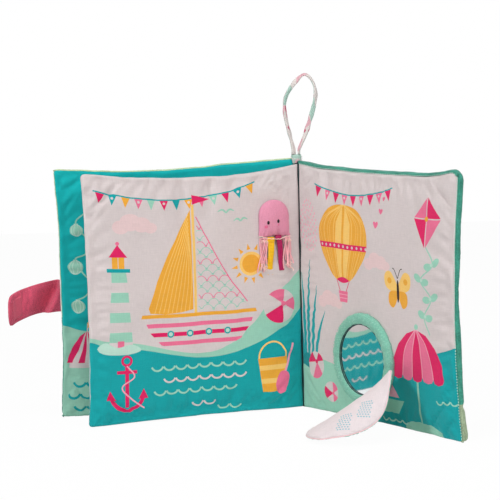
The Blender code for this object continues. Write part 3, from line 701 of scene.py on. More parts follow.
# what the wadding does to each sheet: rim and middle rise, seam ripples, soft folds
sheetMake = {
    "frontPage": {
        "panel": "front", "side": 1, "rim": 0.0021, "rise": 0.0043, "inset": (0, 0.0004, 0.0002, 0.0006),
        "seamDepth": 0.0003, "ripple": 0.0007, "seed": 11, "calm": 0.3,
        "creases": [(186, 196, 180, 170, 5, 0.5), (192, 60, 178, 66, 4, 0.5), (150, 196, 146, 176, 6, 0.5)],
    },
    "leftPage": {
        "panel": "leaf", "side": 1, "rim": 0.0018, "rise": 0.0044, "inset": (-0.0009, 0.0002, 0.0002, 0.0002),
        "seamDepth": 0.0001, "ripple": 0.0009, "seed": 12, "flat": [(0.0203, 0.152, 0.022)],
        "creases": [
            (98, 197, 101, 150, 5.0, -1.5), (74, 197, 78, 164, 4.5, -1.2), (128, 197, 122, 172, 6.0, -0.9),
            (34, 196, 44, 176, 4.5, -0.7), (176, 92, 150, 84, 4.0, -0.7), (177, 60, 158, 66, 4.0, -0.5),
            (4, 120, 22, 112, 4.5, -0.5), (100, 2, 96, 22, 5.0, -0.6), (44, 2, 50, 20, 5.0, -0.6),
            (150, 2, 144, 16, 5.0, -0.6), (8, 190, 20, 170, 5.0, -0.6),
        ],
    },
    "rightPage": {
        "panel": "leaf", "side": -1, "rim": 0.0018, "rise": 0.0039, "inset": (0, 0.0002, 0.0002, 0.0002),
        "seamDepth": -0.0001, "ripple": 0.0009, "seed": 13, "calm": 0.3,
        "creases": [
            (70, 197, 74, 168, 5.0, -0.8), (120, 197, 116, 172, 6.0, -0.6), (176, 100, 156, 96, 4.0, -0.6),
        ],
    },
    "backPage": {
        "panel": "back", "side": 1, "rim": 0.0022, "rise": 0.0048, "inset": (-0.0011, 0.0012, 0.0003, 0.0020),
        "seamDepth": 0.0008, "ripple": 0.0009, "seed": 14, "flat": [(0.0835, 0.0496, 0.046)],
        "creases": [
            (40, 196, 44, 172, 5.0, -0.6), (192, 150, 176, 152, 4.0, -0.6), (192, 108, 172, 106, 4.5, -0.8),
            (192, 84, 176, 88, 4.0, -0.6), (96, 196, 98, 176, 6.0, -0.5), (170, 2, 166, 20, 5.0, -0.7),
            (100, 1, 104, 12, 5.0, -0.5), (140, 2, 136, 16, 5.0, -0.6),
        ],
    },
}
leastRise = 0.0011  # neither sheet of a panel may sink through its middle plane


def calmed(make, across):
    # sheets that face each other keep smooth towards the fold, where they come close
    return np.clip((across - make["calm"]) / 0.3, 0.1, 1) if "calm" in make else 1.0


def levelled(make, x, y):
    # cloth keeps smooth where something flat lies on it
    share = 1.0
    for spotX, spotY, reach in make.get("flat", ()):
        share = share * (1 - np.exp(-((np.hypot(x - spotX, y - spotY) / reach) ** 4)))
    return share


def sheetDepth(name, across, up):
    # signed distance of a sheet's outer face from its panel's middle plane
    make = sheetMake[name]
    panel = panels[make["panel"]]
    x, y = across * panel.width, up * panel.height
    gaps = [x, panel.width - x, y, panel.height - y]
    seam = math.prod(rounded(gap, make["rim"] * 1.1) for gap in gaps)
    ripples = np.zeros_like(x)
    for number, (gap, run) in enumerate(zip(gaps, (up, up, across, across))):
        seed = make["seed"] * 10 + number
        wave = (edgeWave(seed, run, 24) + 0.6 * edgeWave(seed + 5, run, 46)) * (1.0 if number else 0.35)
        ripples += wave * np.exp(-((gap / 0.009) ** 2)) * np.minimum(1, gap / 0.002)
    slow = cloudField(make["seed"], across, up, 6, 6) * 0.0006
    slow = slow + cloudField(make["seed"] + 50, across, up, 17, 18) * 0.00022
    extra = ripples * make["ripple"] + slow + creaseField(make["creases"], x / mm, y / mm)
    extra = extra * calmed(make, across) * levelled(make, x, y)
    full = panel.fullness(across, up, make["rim"], make["rise"])
    return make["seamDepth"] * (1 - seam) + make["side"] * np.maximum(full + extra, leastRise) * seam


def sheetPlace(name, across, up):
    # world points of a sheet's outer face
    make = sheetMake[name]
    panel = panels[make["panel"]]
    along, high = panel.outline(across, up, make["inset"])
    points = panel.place(along, high, sheetDepth(name, across, up))
    if make["side"] in panel.puffed:
        points = points + sampled(panel.puffed[make["side"]], across, up)
    return points


def surfaceAt(name, along, up):
    # how far the finished face stands from its panel's middle plane, at real lengths
    make = sheetMake[name]
    panel = panels[make["panel"]]
    across, high = panel.shares(np.asarray(along, float), np.asarray(up, float))
    return (sheetPlace(name, across, high) - panel.root) @ panel.inward * make["side"]


# each panel is blown up as a closed bag of cloth a little too large for its seams, which puckers it
puffMake = {
    "cell": 0.0030, "scale": 10.0, "frames": 20, "reach": 0.016, "smooth": 0.018, "gain": 1.4, "cap": 0.0026,
    "settings": {
        "quality": 5, "mass": 0.3, "tension_stiffness": 15.0, "compression_stiffness": 15.0,
        "shear_stiffness": 5.0, "bending_stiffness": 0.12,
        "use_pressure": True, "uniform_pressure_force": 5.0,
        "vertex_group_mass": "seam",
        "vertex_group_shrink": "slack", "shrink_min": -0.030, "shrink_max": -0.095,
    },
}


def smoothed(field, count):
    # a running mean over both directions, twice, for the slow part of a field
    share = np.full(2 * count + 1, 1 / (2 * count + 1))

    def mean(line):
        return np.convolve(np.pad(line, count, "edge"), share, "valid")

    for axis in (0, 1, 0, 1):
        field = np.apply_along_axis(mean, axis, field)
    return field


def blowBag(make, name, grids, near):
    # the points of both sides of the bag after the simulation
    rim = rimOf(near)
    bag = closedPad("puff" + name.capitalize(), grids[-1], grids[1], plainCotton)
    bag.vertex_groups.new(name="seam").add(np.flatnonzero(rim.ravel()).tolist(), 1.0, "REPLACE")
    loose = bag.vertex_groups.new(name="slack")
    for number, weight in enumerate([*near.ravel().tolist(), *near[~rim].tolist()]):
        loose.add([number], weight, "REPLACE")
    cloth = bag.modifiers.new("cloth", "CLOTH")
    for key, value in make["settings"].items():
        setattr(cloth.settings, key, value)
    cloth.settings.effector_weights.gravity = 0
    cloth.collision_settings.use_collision = False
    cloth.point_cache.frame_start, cloth.point_cache.frame_end = 1, make["frames"]
    for number in range(1, make["frames"] + 1):
        bpy.context.scene.frame_set(number)
    mesh = bag.evaluated_get(bpy.context.evaluated_depsgraph_get()).data
    spots = np.zeros(len(mesh.vertices) * 3)
    mesh.vertices.foreach_get("co", spots)
    spots = spots.reshape(-1, 3) / make["scale"]
    bpy.context.scene.frame_set(1)
    bpy.data.objects.remove(bag, do_unlink=True)
    blown = {1: spots[: rim.size].reshape(*rim.shape, 3)}
    blown[-1] = blown[1].copy()
    blown[-1][~rim] = spots[rim.size :]
    return blown


def puffPanel(name):
    make = puffMake
    panel = panels[name]
    rows, columns = round(panel.height / make["cell"]) + 1, round(panel.width / make["cell"]) + 1
    across, up = np.meshgrid(np.linspace(0, 1, columns), np.linspace(0, 1, rows))
    along, high = panel.outline(across, up)
    start = panel.fullness(across, up, 0.0018, 0.0046)
    start = start + cloudField(panel.seed + 20, across, up, 26, 26) * 0.0003
    grids = {}
    for side in (1, -1):
        depth = np.where(rimOf(start), 0, side * start)
        grids[side] = np.stack([along, depth, high], axis=-1) * make["scale"]
    gaps = np.minimum(np.minimum(along, panel.width - along), np.minimum(high, panel.height - high))
    blown = blowBag(make, name, grids, np.clip(1 - gaps / make["reach"], 0, 1))
    count = max(1, round(make["smooth"] / make["cell"] / 2))
    inside = np.clip((gaps[..., None] - 0.012) / 0.02, 0, 1)
    for side in (1, -1):
        moved = blown[side] - grids[side] / make["scale"]
        fine = (moved - smoothed(moved, count)) * make["gain"]
        # the small wrinkles away from the seams are softened
        fine = fine + (smoothed(fine, 1) - fine) * inside
        size = np.linalg.norm(fine, axis=-1, keepdims=True)
        fade = np.clip(across / 0.10, 0, 1) * np.minimum(1, gaps / 0.004)
        for sheet in sheetMake.values():
            if sheet["panel"] == name and sheet["side"] == side:
                fade = fade * calmed(sheet, across) * levelled(sheet, along, high)
        fine = fine * np.minimum(1, make["cap"] / np.maximum(size, 1e-9)) * fade[..., None]
        fine[..., 1] = side * np.maximum(side * fine[..., 1], -0.6 * np.maximum(start - leastRise, 0))
        panel.puffed[side] = fine @ np.array([panel.along, panel.inward, skyward])
        deep = np.percentile(np.abs(fine[..., 1]) / mm, [50, 95, 100])
        print(name, side, "puffed, cloth moved", np.round(deep, 2), "mm")


for name in panels:
    puffPanel(name)


# prints: shapes in millimetres from the reader's lower left corner, later ones over earlier ones
class Print:
    def __init__(self, sheet, flipped):
        self.wide = panels[sheetMake[sheet]["panel"]].width / mm
        self.flipped = flipped
        self.shapes = []

    def add(self, points, ink, clip=None):
        points = [(self.wide - x, y) if self.flipped else (x, y) for x, y in points]
        sides = list(zip(points, points[1:] + points[:1]))
        area = sum(a[0] * b[1] - b[0] * a[1] for a, b in sides)
        # long sides get points between, or they would run straight through the padding
        points = []
        for a, b in sides:
            steps = np.arange(math.ceil(math.dist(a, b) / 2.4))[:, None] / math.ceil(math.dist(a, b) / 2.4)
            points += [tuple(spot) for spot in a + (np.array(b) - a) * steps]
        self.shapes.append((points if area > 0 else points[::-1], inks.get(ink), clip))
        return len(self.shapes)

    def box(self, x0, y0, x1, y1, ink, clip=None):
        return self.add([(x0, y0), (x1, y0), (x1, y1), (x0, y1)], ink, clip)

    def disc(self, x, y, radius, ink, tall=None, turn=0.0, clip=None, count=30):
        tall = radius if tall is None else tall
        cosine, sine = math.cos(math.radians(turn)), math.sin(math.radians(turn))
        angles = np.linspace(0, 2 * math.pi, count, endpoint=False)
        ring = [(radius * math.cos(a), tall * math.sin(a)) for a in angles]
        return self.add([(x + p * cosine - q * sine, y + p * sine + q * cosine) for p, q in ring], ink, clip)

    def blob(self, points, ink, clip=None, spacing=2.0):
        # a closed shape that runs smoothly through its points, cut from a curve that goes round and on
        dense, _ = smoothPath(points[-2:] + points + points[:3], spacing)
        gaps = np.linalg.norm(dense - np.array(points[0]), axis=1)
        start = int(np.argmin(gaps[: len(dense) // 2 + 1]))
        stop = start + 4 + int(np.argmin(gaps[start + 4 :]))
        return self.add([tuple(p) for p in dense[start:stop]], ink, clip)

    def line(self, points, wide, ink, clip=None, smooth=True, ends=None):
        # a drawn line of one width, or one that thins towards its ends
        points = smoothPath(points, 1.6)[0] if smooth else np.asarray(points, float)
        ahead = np.gradient(points, axis=0)
        ahead /= np.linalg.norm(ahead, axis=1, keepdims=True)
        widths = [wide] * 3 if ends is None else [ends[0], wide, ends[1]]
        half = np.interp(np.linspace(0, 1, len(points)), [0, 0.5, 1], widths)[:, None] / 2
        off = np.column_stack([-ahead[:, 1], ahead[:, 0]]) * half
        return self.add([tuple(p) for p in np.concatenate([points + off, (points - off)[::-1]])], ink, clip)

    def rule(self, points, wide, ink, clip=None):
        return self.line(points, wide, ink, clip, smooth=False)

    def arc(self, x, y, radius, start, end, wide, ink, clip=None, tall=1.0):
        angles = np.radians(np.linspace(start, end, max(5, int(abs(end - start) * radius / 90) + 3)))
        path = [(x + radius * math.cos(a), y + radius * tall * math.sin(a)) for a in angles]
        return self.rule(path, wide, ink, clip)


def bunting(sheet, start, end, sag, count, inkList, size=8.5):
    # a string of pennants between two points
    across = np.linspace(0, 1, 25)
    xs = start[0] + (end[0] - start[0]) * across
    ys = start[1] + (end[1] - start[1]) * across - sag * bow(across)
    for number in range(count):
        share = (number + 0.5) / count
        ends = (share, share + 0.02)
        (x, nextX), (y, nextY) = np.interp(ends, across, xs), np.interp(ends, across, ys)
        slope = (nextY - y) / (nextX - x)
        half = size * 0.42
        tip = (x + size * slope * 0.9, y - size)
        pennant = [(x - half, y - half * slope), tip, (x + half, y + half * slope)]
        sheet.add(pennant, inkList[number % len(inkList)])
        if number % 2:
            sheet.disc(x + 2.4 * slope, y - 2.9, 1.1, "white", count=10)
    sheet.rule(list(zip(xs, ys)), 1.1, "teal")


def cloud(sheet, x, y, size, ink):
    for dx, dy, radius in ((-1.3, 0, 0.75), (-0.4, 0.45, 0.95), (0.6, 0.25, 0.85), (1.4, -0.05, 0.6)):
        sheet.disc(x + dx * size, y + dy * size, radius * size, ink, tall=radius * size * 0.8)


def gull(sheet, x, y, size, ink="mint"):
    for side in (-1, 1):
        wing = [(x, y), (x + side * size * 0.45, y + size * 0.42), (x + side * size, y + size * 0.18)]
        sheet.line(wing, 1.7, ink, ends=(1.2, 0.6))


def waves(sheet, x0, x1, y, size, ink, wide=1.5, clip=None):
    count = max(1, round((x1 - x0) / (2 * size)))
    for number in range(count):
        sheet.arc(x0 + size + 2 * size * number, y, size, 200, 340, wide, ink, clip)


def scallops(sheet, clip, x0, x1, y0, y1, size, outlines, fill):
    # overlapping rows of round scales, the lower rows over the higher ones
    for row in range(math.ceil((y1 - y0 + size) / (size * 0.95))):
        y = y1 - row * size * 0.95
        x = x0 - size + size * (row % 2)
        while x < x1 + size:
            sheet.disc(x, y, size * 1.03, outlines[row % len(outlines)], tall=size * 1.2, clip=clip, count=22)
            sheet.disc(x, y + 0.35, size * 0.86, fill, tall=size * 1.03, clip=clip, count=20)
            sheet.arc(x, y + 1.2, size * 0.55, 205, 335, 0.45, "teal", clip, tall=1.25)
            x += 2 * size


def ball(sheet, x, y, radius, inkList, turn=0.0):
    # a striped ball: gores that meet at its pole
    whole = sheet.disc(x, y, radius, inkList[0], count=36)
    middle = math.radians(turn)
    pole = np.array((x, y)) + radius * 0.28 * np.array((math.cos(middle), math.sin(middle)))
    for number in (1, 3, 5):
        angles = np.radians(turn + 60 * (number + np.linspace(0, 1, 5)))
        rim = [tuple(pole + 2.2 * radius * np.array((math.cos(a), math.sin(a)))) for a in angles]
        sheet.add([tuple(pole), *rim], inkList[1 + number // 2 % (len(inkList) - 1)], clip=whole)
    sheet.disc(*pole, radius * 0.16, inkList[-1], count=14)


def heart(sheet, x, y, size, ink):
    side = [(0.75, -0.2), (0.95, 0.45), (0.5, 0.8)]
    spots = [(0, -1.0), *side, (0, 0.45), *[(-p, q) for p, q in side[::-1]]]
    sheet.blob([(x + p * size, y + q * size) for p, q in spots], ink, spacing=size * 0.35)


def printLeft():
    # a sailing boat in a bay, with a lighthouse, a ball, an anchor and a bucket
    sheet = Print("leftPage", True)
    cloud(sheet, 40, 158, 9, "paleCloud")
    sheet.blob(
        [(-8, 66), (14, 67), (40, 64), (72, 56), (94, 53), (112, 57), (136, 74), (152, 92), (168, 104)]
        + [(186, 112), (192, 60), (186, 20), (90, 10), (-12, 16)],
        "mint",
    )
    sheet.blob(
        [(-10, 61), (16, 62), (42, 59), (70, 53), (96, 49), (122, 52), (146, 60), (166, 70), (192, 82)]
        + [(196, -14), (90, -20), (-14, -14)],
        "teal",
    )
    bunting(sheet, (8, 186), (142, 191), 8, 13, ("hotPink", "teal", "gold", "pink", "mint"))
    # lighthouse
    tower = sheet.add([(15, 60), (35, 60), (31, 122), (19, 122)], "white")
    for low in (66, 82, 98, 114):
        sheet.box(10, low, 40, low + 8, "mint", tower)
    sheet.box(15.5, 122, 34.5, 125, "teal")
    sheet.box(20, 125, 30, 134, "gold")
    sheet.rule([(25, 125), (25, 134)], 0.6, "white")
    sheet.add([(17.5, 134), (32.5, 134), (25, 144)], "hotPink")
    sheet.disc(25, 145, 1.6, "pink", count=12)
    sheet.box(22.3, 60, 27.7, 67, "pink")
    sheet.blob([(6, 61), (12, 66), (22, 62), (34, 64), (42, 59), (30, 56), (12, 57)], "paleMint")
    # boat: hull, mast, golden mainsail, scaled jib, flag
    sheet.rule([(88, 78), (88, 176)], 2.2, "paleGold")
    leech = [(86, 172), (78, 158), (66, 136), (56, 114), (48.5, 92)]
    sail = sheet.add(leech + [(50, 88), (62, 87), (76, 88), (86, 90)], "gold")
    for number in range(9):
        share = (number + 1) / 10
        foot = 50 + 36 * share
        seam = [(foot, 88), (foot + 2 + 8 * (1 - share), 120 - 6 * share), (84, 168 - 3 * number)]
        sheet.line(seam, 0.55, "paleGold", sail)
    luff = [(90.5, 166), (98, 150), (108, 130), (119, 111), (132, 93)]
    jib = sheet.add(luff + [(124, 89), (108, 87.5), (90.5, 90)], "white")
    scallops(sheet, jib, 88, 134, 88, 168, 5.0, ("pink", "mint", "mint"), "white")
    sheet.rule(luff, 0.9, "pink")
    sheet.add([(88, 184), (88, 176), (103, 180)], "hotPink")
    hull = [(44, 84), (138, 84), (134, 74), (126, 63), (112, 57), (72, 56), (58, 62), (49, 72)]
    hull = sheet.add(hull, "white")
    for y, ink in ((79.5, "pink"), (72, "hotPink"), (64.5, "pink")):
        sheet.box(40, y - 3.4, 142, y, ink, hull)
    for x in (66, 82, 98, 114):
        sheet.disc(x, 70.5, 2.9, "teal", count=18)
        sheet.disc(x, 70.5, 1.7, "paleMint", count=14)
    sheet.add([(42, 84), (140, 84), (139, 87), (43, 87)], "gold")
    # sun, hills' dots, gulls
    spread = math.radians(8)
    for number in range(12):
        a = math.radians(30 * number + 8)
        spots = [(12, a - spread), (12, a + spread), (17, a)]
        sheet.add([(136 + reach * math.cos(b), 124 + reach * math.sin(b)) for reach, b in spots], "gold")
    sheet.disc(136, 124, 10, "paleGold")
    sheet.disc(136, 124, 7.6, "gold", count=26)
    gull(sheet, 116, 168, 7)
    gull(sheet, 128, 160, 6)
    ball(sheet, 160, 86, 14, ("white", "pink", "hotPink", "pink"), 25)
    # under the waves: wave lines, anchor, bucket and spade
    for y, x0, x1, ink in ((46, 50, 130, "mint"), (36, 60, 132, "white"), (26, 52, 124, "mint")):
        waves(sheet, x0, x1, y, 5.0, ink)
    waves(sheet, 84, 104, 14, 5.0, "white")
    waves(sheet, 106, 126, 9, 5.0, "mint")
    sheet.rule([(30, 14), (30, 48)], 3.0, "hotPink")
    sheet.rule([(22, 42), (38, 42)], 2.6, "hotPink")
    sheet.arc(30, 24, 13, 190, 350, 3.0, "hotPink")
    sheet.arc(30, 51, 3.6, -90, 265, 1.9, "hotPink")
    for side in (-1, 1):
        sheet.add([(30 + side * 9, 20), (30 + side * 17, 20), (30 + side * 13.5, 28)], "hotPink")
    sheet.line([(30, 47), (36, 38), (26, 30), (34, 20), (44, 12)], 1.1, "softPink")
    pail = sheet.add([(140, 44), (166, 44), (162, 16), (144, 16)], "gold")
    for y in (38, 27):
        sheet.box(136, y - 4, 170, y, "paleGold", pail)
    sheet.arc(153, 44, 12, 0, 180, 1.4, "paleGold", tall=1.1)
    sheet.rule([(172, 54), (163, 30)], 1.8, "softPink")
    sheet.blob([(160, 32), (167, 29), (164, 17), (158, 14), (155, 22)], "pink", spacing=1.5)
    return sheet


def printRight():
    # a hot-air balloon, a kite, a butterfly and an umbrella on the shore
    sheet = Print("backPage", False)
    cloud(sheet, 106, 128, 8, "paleCloud")
    cloud(sheet, 44, 92, 8, "paleCloud")
    sheet.blob(
        [(-10, 42), (16, 45), (42, 42), (70, 36), (100, 34), (124, 40), (120, -12), (40, -16), (-14, -12)],
        "mint",
    )
    sheet.blob(
        [(96, -12), (99, 20), (110, 42), (130, 54), (156, 60), (182, 66), (206, 68), (210, 20)]
        + [(206, -14), (150, -18)],
        "teal",
    )
    bunting(sheet, (26, 187), (122, 190), 7, 9, ("hotPink", "pink"), 9)
    # balloon: gores, fine lines, scalloped skirt, basket
    for x0, x1 in ((53.5, 58), (70.5, 66)):
        sheet.rule([(x0, 112), (x1, 103)], 0.8, "hotPink")
    bag = sheet.blob(
        [(62, 173), (80, 169), (92, 155), (93, 139), (84, 124), (71, 112)]
        + [(53, 112), (40, 124), (31, 139), (32, 155), (44, 169)],
        "gold",
    )
    for side in (-1, 1):

        def gore(*spots):
            return [(62 + side * reach, y) for reach, y in spots]

        for reach in (10.5, 21.5):
            seam = gore((0, 173), (reach, 160), (reach * 1.06, 140), (reach * 0.5, 112))
            sheet.line(seam, 0.7, "paleGold", bag)
        sheet.add(gore((1.5, 172), (9, 158), (9.5, 138), (4, 112), (1.0, 112)), "paleGold", bag)
        for reach in (26, 28.6, 15.5, 18.0):
            seam = gore((0, 174), (reach, 158), (reach * 1.03, 141), (reach * 0.56, 112))
            sheet.line(seam, 0.4, "paleGold", bag)
    sheet.box(30, 137, 95, 141.5, "hotPink", bag)
    for number in range(11):
        sheet.disc(34 + 5.8 * number, 139.2, 1.2, "white", clip=bag, count=10)
    sheet.blob([(54, 112), (62, 109.6), (70, 112), (62, 114.4)], "hotPink", spacing=1.2)
    sheet.add([(56, 103), (68, 103), (66.5, 94), (57.5, 94)], "pink")
    for y in (100.2, 97.2):
        sheet.rule([(56.5, y), (67.5, y)], 0.7, "softPink")
    # a burst of small dots
    for ring, (radius, count) in enumerate(((2.5, 4), (6.5, 9), (10.5, 14), (14, 18), (17, 22))):
        for number in range(count):
            a = 2 * math.pi * (number + 0.5 * (ring % 2)) / count
            x, y = 15 + radius * 0.72 * math.cos(a), 152 + radius * 1.2 * math.sin(a)
            sheet.disc(x, y, 0.75, "softPink", tall=1.0, count=8)
    # kite with its tail
    sheet.line([(164, 146), (172, 132), (158, 120), (170, 106), (162, 92), (168, 78)], 1.2, "mint")
    for x, y, turn in ((171, 132, 20), (159, 120, -20), (169, 106, 15), (163, 92, -15)):
        a = math.radians(turn)
        for side in (-1, 1):
            bend = side * 4.6
            spot = (x + bend * math.cos(a), y + bend * math.sin(a))
            sheet.disc(*spot, 4.4, "mint", tall=2.9, turn=turn + side * 18, count=18)
        sheet.disc(x, y, 1.5, "paleMint", count=10)
    kite = sheet.add([(165, 184), (180, 166), (163, 144), (150, 168)], "pink")
    sheet.add([(165, 184), (180, 166), (164, 167)], "hotPink", kite)
    sheet.add([(150, 168), (164, 167), (163, 144)], "hotPink", kite)
    sheet.rule([(165, 184), (163, 144)], 0.9, "white")
    sheet.rule([(150, 168), (180, 166)], 0.9, "white")
    sheet.disc(164, 167, 2.0, "gold", count=14)
    # butterfly
    for side in (-1, 1):
        upper = ((0, 112), (8, 124), (15, 122), (14, 112), (5, 108))
        lower = ((0, 108), (10, 108), (11, 99), (5, 96))
        for wing, ink in ((upper, "paleGold"), (lower, "gold")):
            sheet.blob([(131 + side * reach, y) for reach, y in wing], ink)
        sheet.disc(131 + side * 9.5, 117, 2.5, "gold", count=14)
        sheet.line([(131, 119), (131 + side * 3.5, 126), (131 + side * 6, 127)], 0.7, "dark")
    sheet.disc(131, 109, 1.5, "dark", tall=9, count=20)
    # umbrella
    sheet.rule([(152, 2), (152, 84)], 2.2, "mint")
    dome = [(122, 44), (124, 56), (131, 68), (141, 77), (152, 81), (163, 77), (173, 68), (180, 56), (182, 44)]
    for number in range(5, 0, -1):
        x0, x1 = 122 + 12 * (number - 1), 122 + 12 * number
        dome += [(x1 - 1.5, 41.2), ((x0 + x1) / 2, 40.0), (x0 + 1.5, 41.2), (x0, 44)]
    canopy = sheet.add(dome[:-1], "hotPink")
    for x0 in (134, 158):
        x1 = x0 + 12
        high0, high1 = x0 + (152 - x0) * 0.30, x1 + (152 - x1) * 0.30
        gore = [(152, 82), (high0, 66), (x0, 44), (x0, 36), (x1, 36), (x1, 44), (high1, 66)]
        sheet.add(gore, "pink", canopy)
    for x in (134, 146, 158, 170):
        sheet.line([(152, 82), (x + (152 - x) * 0.30, 66), (x, 44), (x, 38)], 0.8, "softPink", canopy)
    sheet.disc(152, 83, 2.2, "mint", count=14)
    sheet.blob([(132, 4), (150, 8), (172, 4), (170, -6), (134, -6)], "mint")
    # reeds
    reeds = ((6, -3, 112, 4.2), (11, 4, 124, 4.8), (17, 9, 104, 4.4), (22, 14, 84, 3.8), (3, -6, 84, 3.4))
    for x, lean, top, wide in reeds:
        stem = [(x, 36), (x + lean * 0.25, 36 + (top - 36) * 0.5), (x + lean, top)]
        sheet.line(stem, wide, "teal", ends=(wide * 0.8, 0.5))
    sheet.blob([(0, 38), (6, 46), (16, 45), (24, 48), (31, 40), (16, 34)], "deepTeal")
    # balls and a paper boat
    ball(sheet, 22, 38, 11, ("white", "hotPink", "pink", "hotPink"), 70)
    ball(sheet, 41, 18, 8.5, ("white", "pink", "hotPink", "pink"), -30)
    sheet.add([(100, 22), (132, 22), (125, 11), (107, 11)], "mint")
    sheet.add([(115, 24), (115, 40), (127, 24)], "softPink")
    sheet.add([(113, 24), (113, 36), (103, 24)], "pink")
    waves(sheet, 104, 134, 7, 3.8, "paleMint", 1.2)
    waves(sheet, 172, 192, 30, 3.8, "mint", 1.2)
    for x, y, size in ((104, 160, 3.2), (110, 171, 2.6), (113, 181, 2.1)):
        heart(sheet, x, y, size, "pink")
    return sheet


def printFront():
    # a shore at evening: lanterns, a tent and waves
    sheet = Print("frontPage", True)
    sheet.box(-5, -5, 200, 205, "brightTeal")
    sheet.blob(
        [(-10, 68), (20, 70), (60, 69), (110, 62), (150, 66), (206, 60), (206, -12), (90, -16), (-14, -12)],
        "mint",
    )
    for x, y, radius in ((14, 152, 5.5), (30, 138, 6.5), (12, 122, 6.5), (29, 106, 5.5), (13, 90, 6)):
        sheet.disc(x, y, radius, "mint", tall=radius * 0.86)
        for reach in (0.35, 0.75):
            for start in (-90, 90):
                sheet.arc(x, y, radius * reach, start, start + 180, 0.7, "paleMint", tall=0.86 / reach)
        top = y + radius * 0.86
        sheet.rule([(x - 1.6, top), (x + 1.6, top)], 1.4, "paleMint")
    sheet.line(
        [(22, 166), (14, 158), (21, 147), (30, 144.5), (21, 133), (12, 128)]
        + [(21, 114), (29, 111), (20, 99), (13, 95.5)],
        1.2,
        "mint",
    )
    tent = sheet.add([(2, 44), (38, 44), (34, 56), (26, 66), (20, 70), (14, 66), (6, 56)], "hotPink")
    for x in (8, 20, 32):
        sheet.add([(x - 3, 40), (x + 3, 40), (20, 72)], "white", tent)
    sheet.box(4, 40, 36, 44, "white")
    sheet.rule([(20, 69), (20, 76)], 0.9, "white")
    sheet.add([(20, 77), (20, 72.5), (27, 74.8)], "gold")
    for y in (30, 20, 10):
        waves(sheet, 4 + y % 20 / 2, 54, y, 5, "teal", 2.0)
    cloud(sheet, 80, 160, 9, "mint")
    cloud(sheet, 142, 120, 10, "mint")
    sheet.disc(112, 150, 15, "paleGold")
    sheet.disc(118, 154, 13, "brightTeal")
    for x, y in ((60, 130), (90, 112), (72, 180), (128, 182), (160, 168), (172, 96), (100, 86), (150, 84)):
        for turn in (0, 90):
            sheet.disc(x, y, 3.0, "white", tall=0.7, turn=turn, count=12)
    sheet.add([(92, 40), (152, 40), (142, 24), (102, 24)], "gold")
    sheet.rule([(122, 40), (122, 84)], 1.6, "paleGold")
    sheet.add([(120, 82), (120, 46), (98, 46)], "pink")
    sheet.add([(124, 82), (124, 46), (144, 46)], "white")
    waves(sheet, 70, 180, 20, 5, "teal", 2.0)
    return sheet


def printHidden():
    # the leaf's other side: a rainbow over the waves
    sheet = Print("rightPage", False)
    bands = ((74, "hotPink"), (64, "gold"), (54, "mint"), (44, "teal"), (34, "pink"), (24, "white"))
    for radius, ink in bands:
        sheet.disc(90, 66, radius, ink, count=64)
    sheet.blob(
        [(-10, 70), (40, 62), (90, 68), (140, 60), (192, 68), (196, -14), (90, -18), (-14, -12)],
        "teal",
    )
    for x in (22, 158):
        cloud(sheet, x, 80, 12, "paleCloud")
    for y, ink in ((48, "mint"), (34, "white"), (20, "mint")):
        waves(sheet, 10, 170, y, 7, ink, 1.8)
    bunting(sheet, (14, 186), (166, 186), 9, 14, ("pink", "mint", "gold"))
    return sheet


# the net that every page is cut into, in millimetres, close together near its edges: thick is in metres
pageMake = {"edges": (0.0, 0.12, 0.4, 0.9, 1.6, 2.6), "first": 4.2, "net": 1.9, "thick": 0.0007, "fill": 0.7}


def netLines(length):
    edges, first = np.array(pageMake["edges"]), pageMake["first"]
    inner = np.linspace(first, length - first, round(length / pageMake["net"]))
    return np.concatenate([edges, inner, length - edges[::-1]])


def cutSheet(artwork, outline, net, ground):
    # one fine mesh with its outline and every printed shape cut in, and the ink of each triangle
    spots, rings = [], []
    for ring in [outline, *(points for points, _, _ in artwork.shapes)]:
        rings.append(list(range(len(spots), len(spots) + len(ring))))
        spots += ring
    made = delaunay_2d_cdt([Vector(spot) for spot in [*spots, *net]], [], rings, 1, 1e-4, True)
    triangles, colours = [], []
    for corners, ids in zip(made[2], made[5]):
        if 0 not in ids:
            continue
        covers = [artwork.shapes[number - 1] for number in sorted(ids, reverse=True) if number]
        seen = [ink for _, ink, clip in covers if ink is not None and (clip is None or clip in ids)]
        triangles.append(corners)
        colours.append(seen[0] if seen else ground)
    return np.array([tuple(spot) for spot in made[0]]), np.array(triangles), np.array(colours)


def addPrinted(name, cut, points, thick, outward, finish, ground):
    flat, triangles, colours = cut
    solid, faces, count, rim = shell(points, triangles, thick, outward)
    colours = np.concatenate([colours, np.tile(ground, (count + rim, 1))])
    return addMesh(name, solid, faces, finish, colours, np.tile(flat * mm, (2, 1)))


def makePage(name, sheetName, artwork, body, slotName, *replaced):
    make = sheetMake[sheetName]
    panel = panels[make["panel"]]
    wide, tall = panel.width / mm, panel.height / mm
    xs, ys = np.meshgrid(netLines(wide), netLines(tall))
    outline = [(0.0, 0.0), (wide, 0.0), (wide, tall), (0.0, tall)]
    cut = cutSheet(artwork, outline, zip(xs.ravel(), ys.ravel()), inks["white"])
    across, up = np.clip(cut[0] / (wide, tall), 0, 1).T
    points, outward = sheetPlace(sheetName, across, up), panel.inward * make["side"]
    piece = addPrinted(name, cut, points, pageMake["thick"], outward, printedCotton, inks["white"])
    settle(piece, body, slotName, *replaced, fill=pageMake["fill"])
    print(name, "made,", len(piece.data.polygons), "faces")


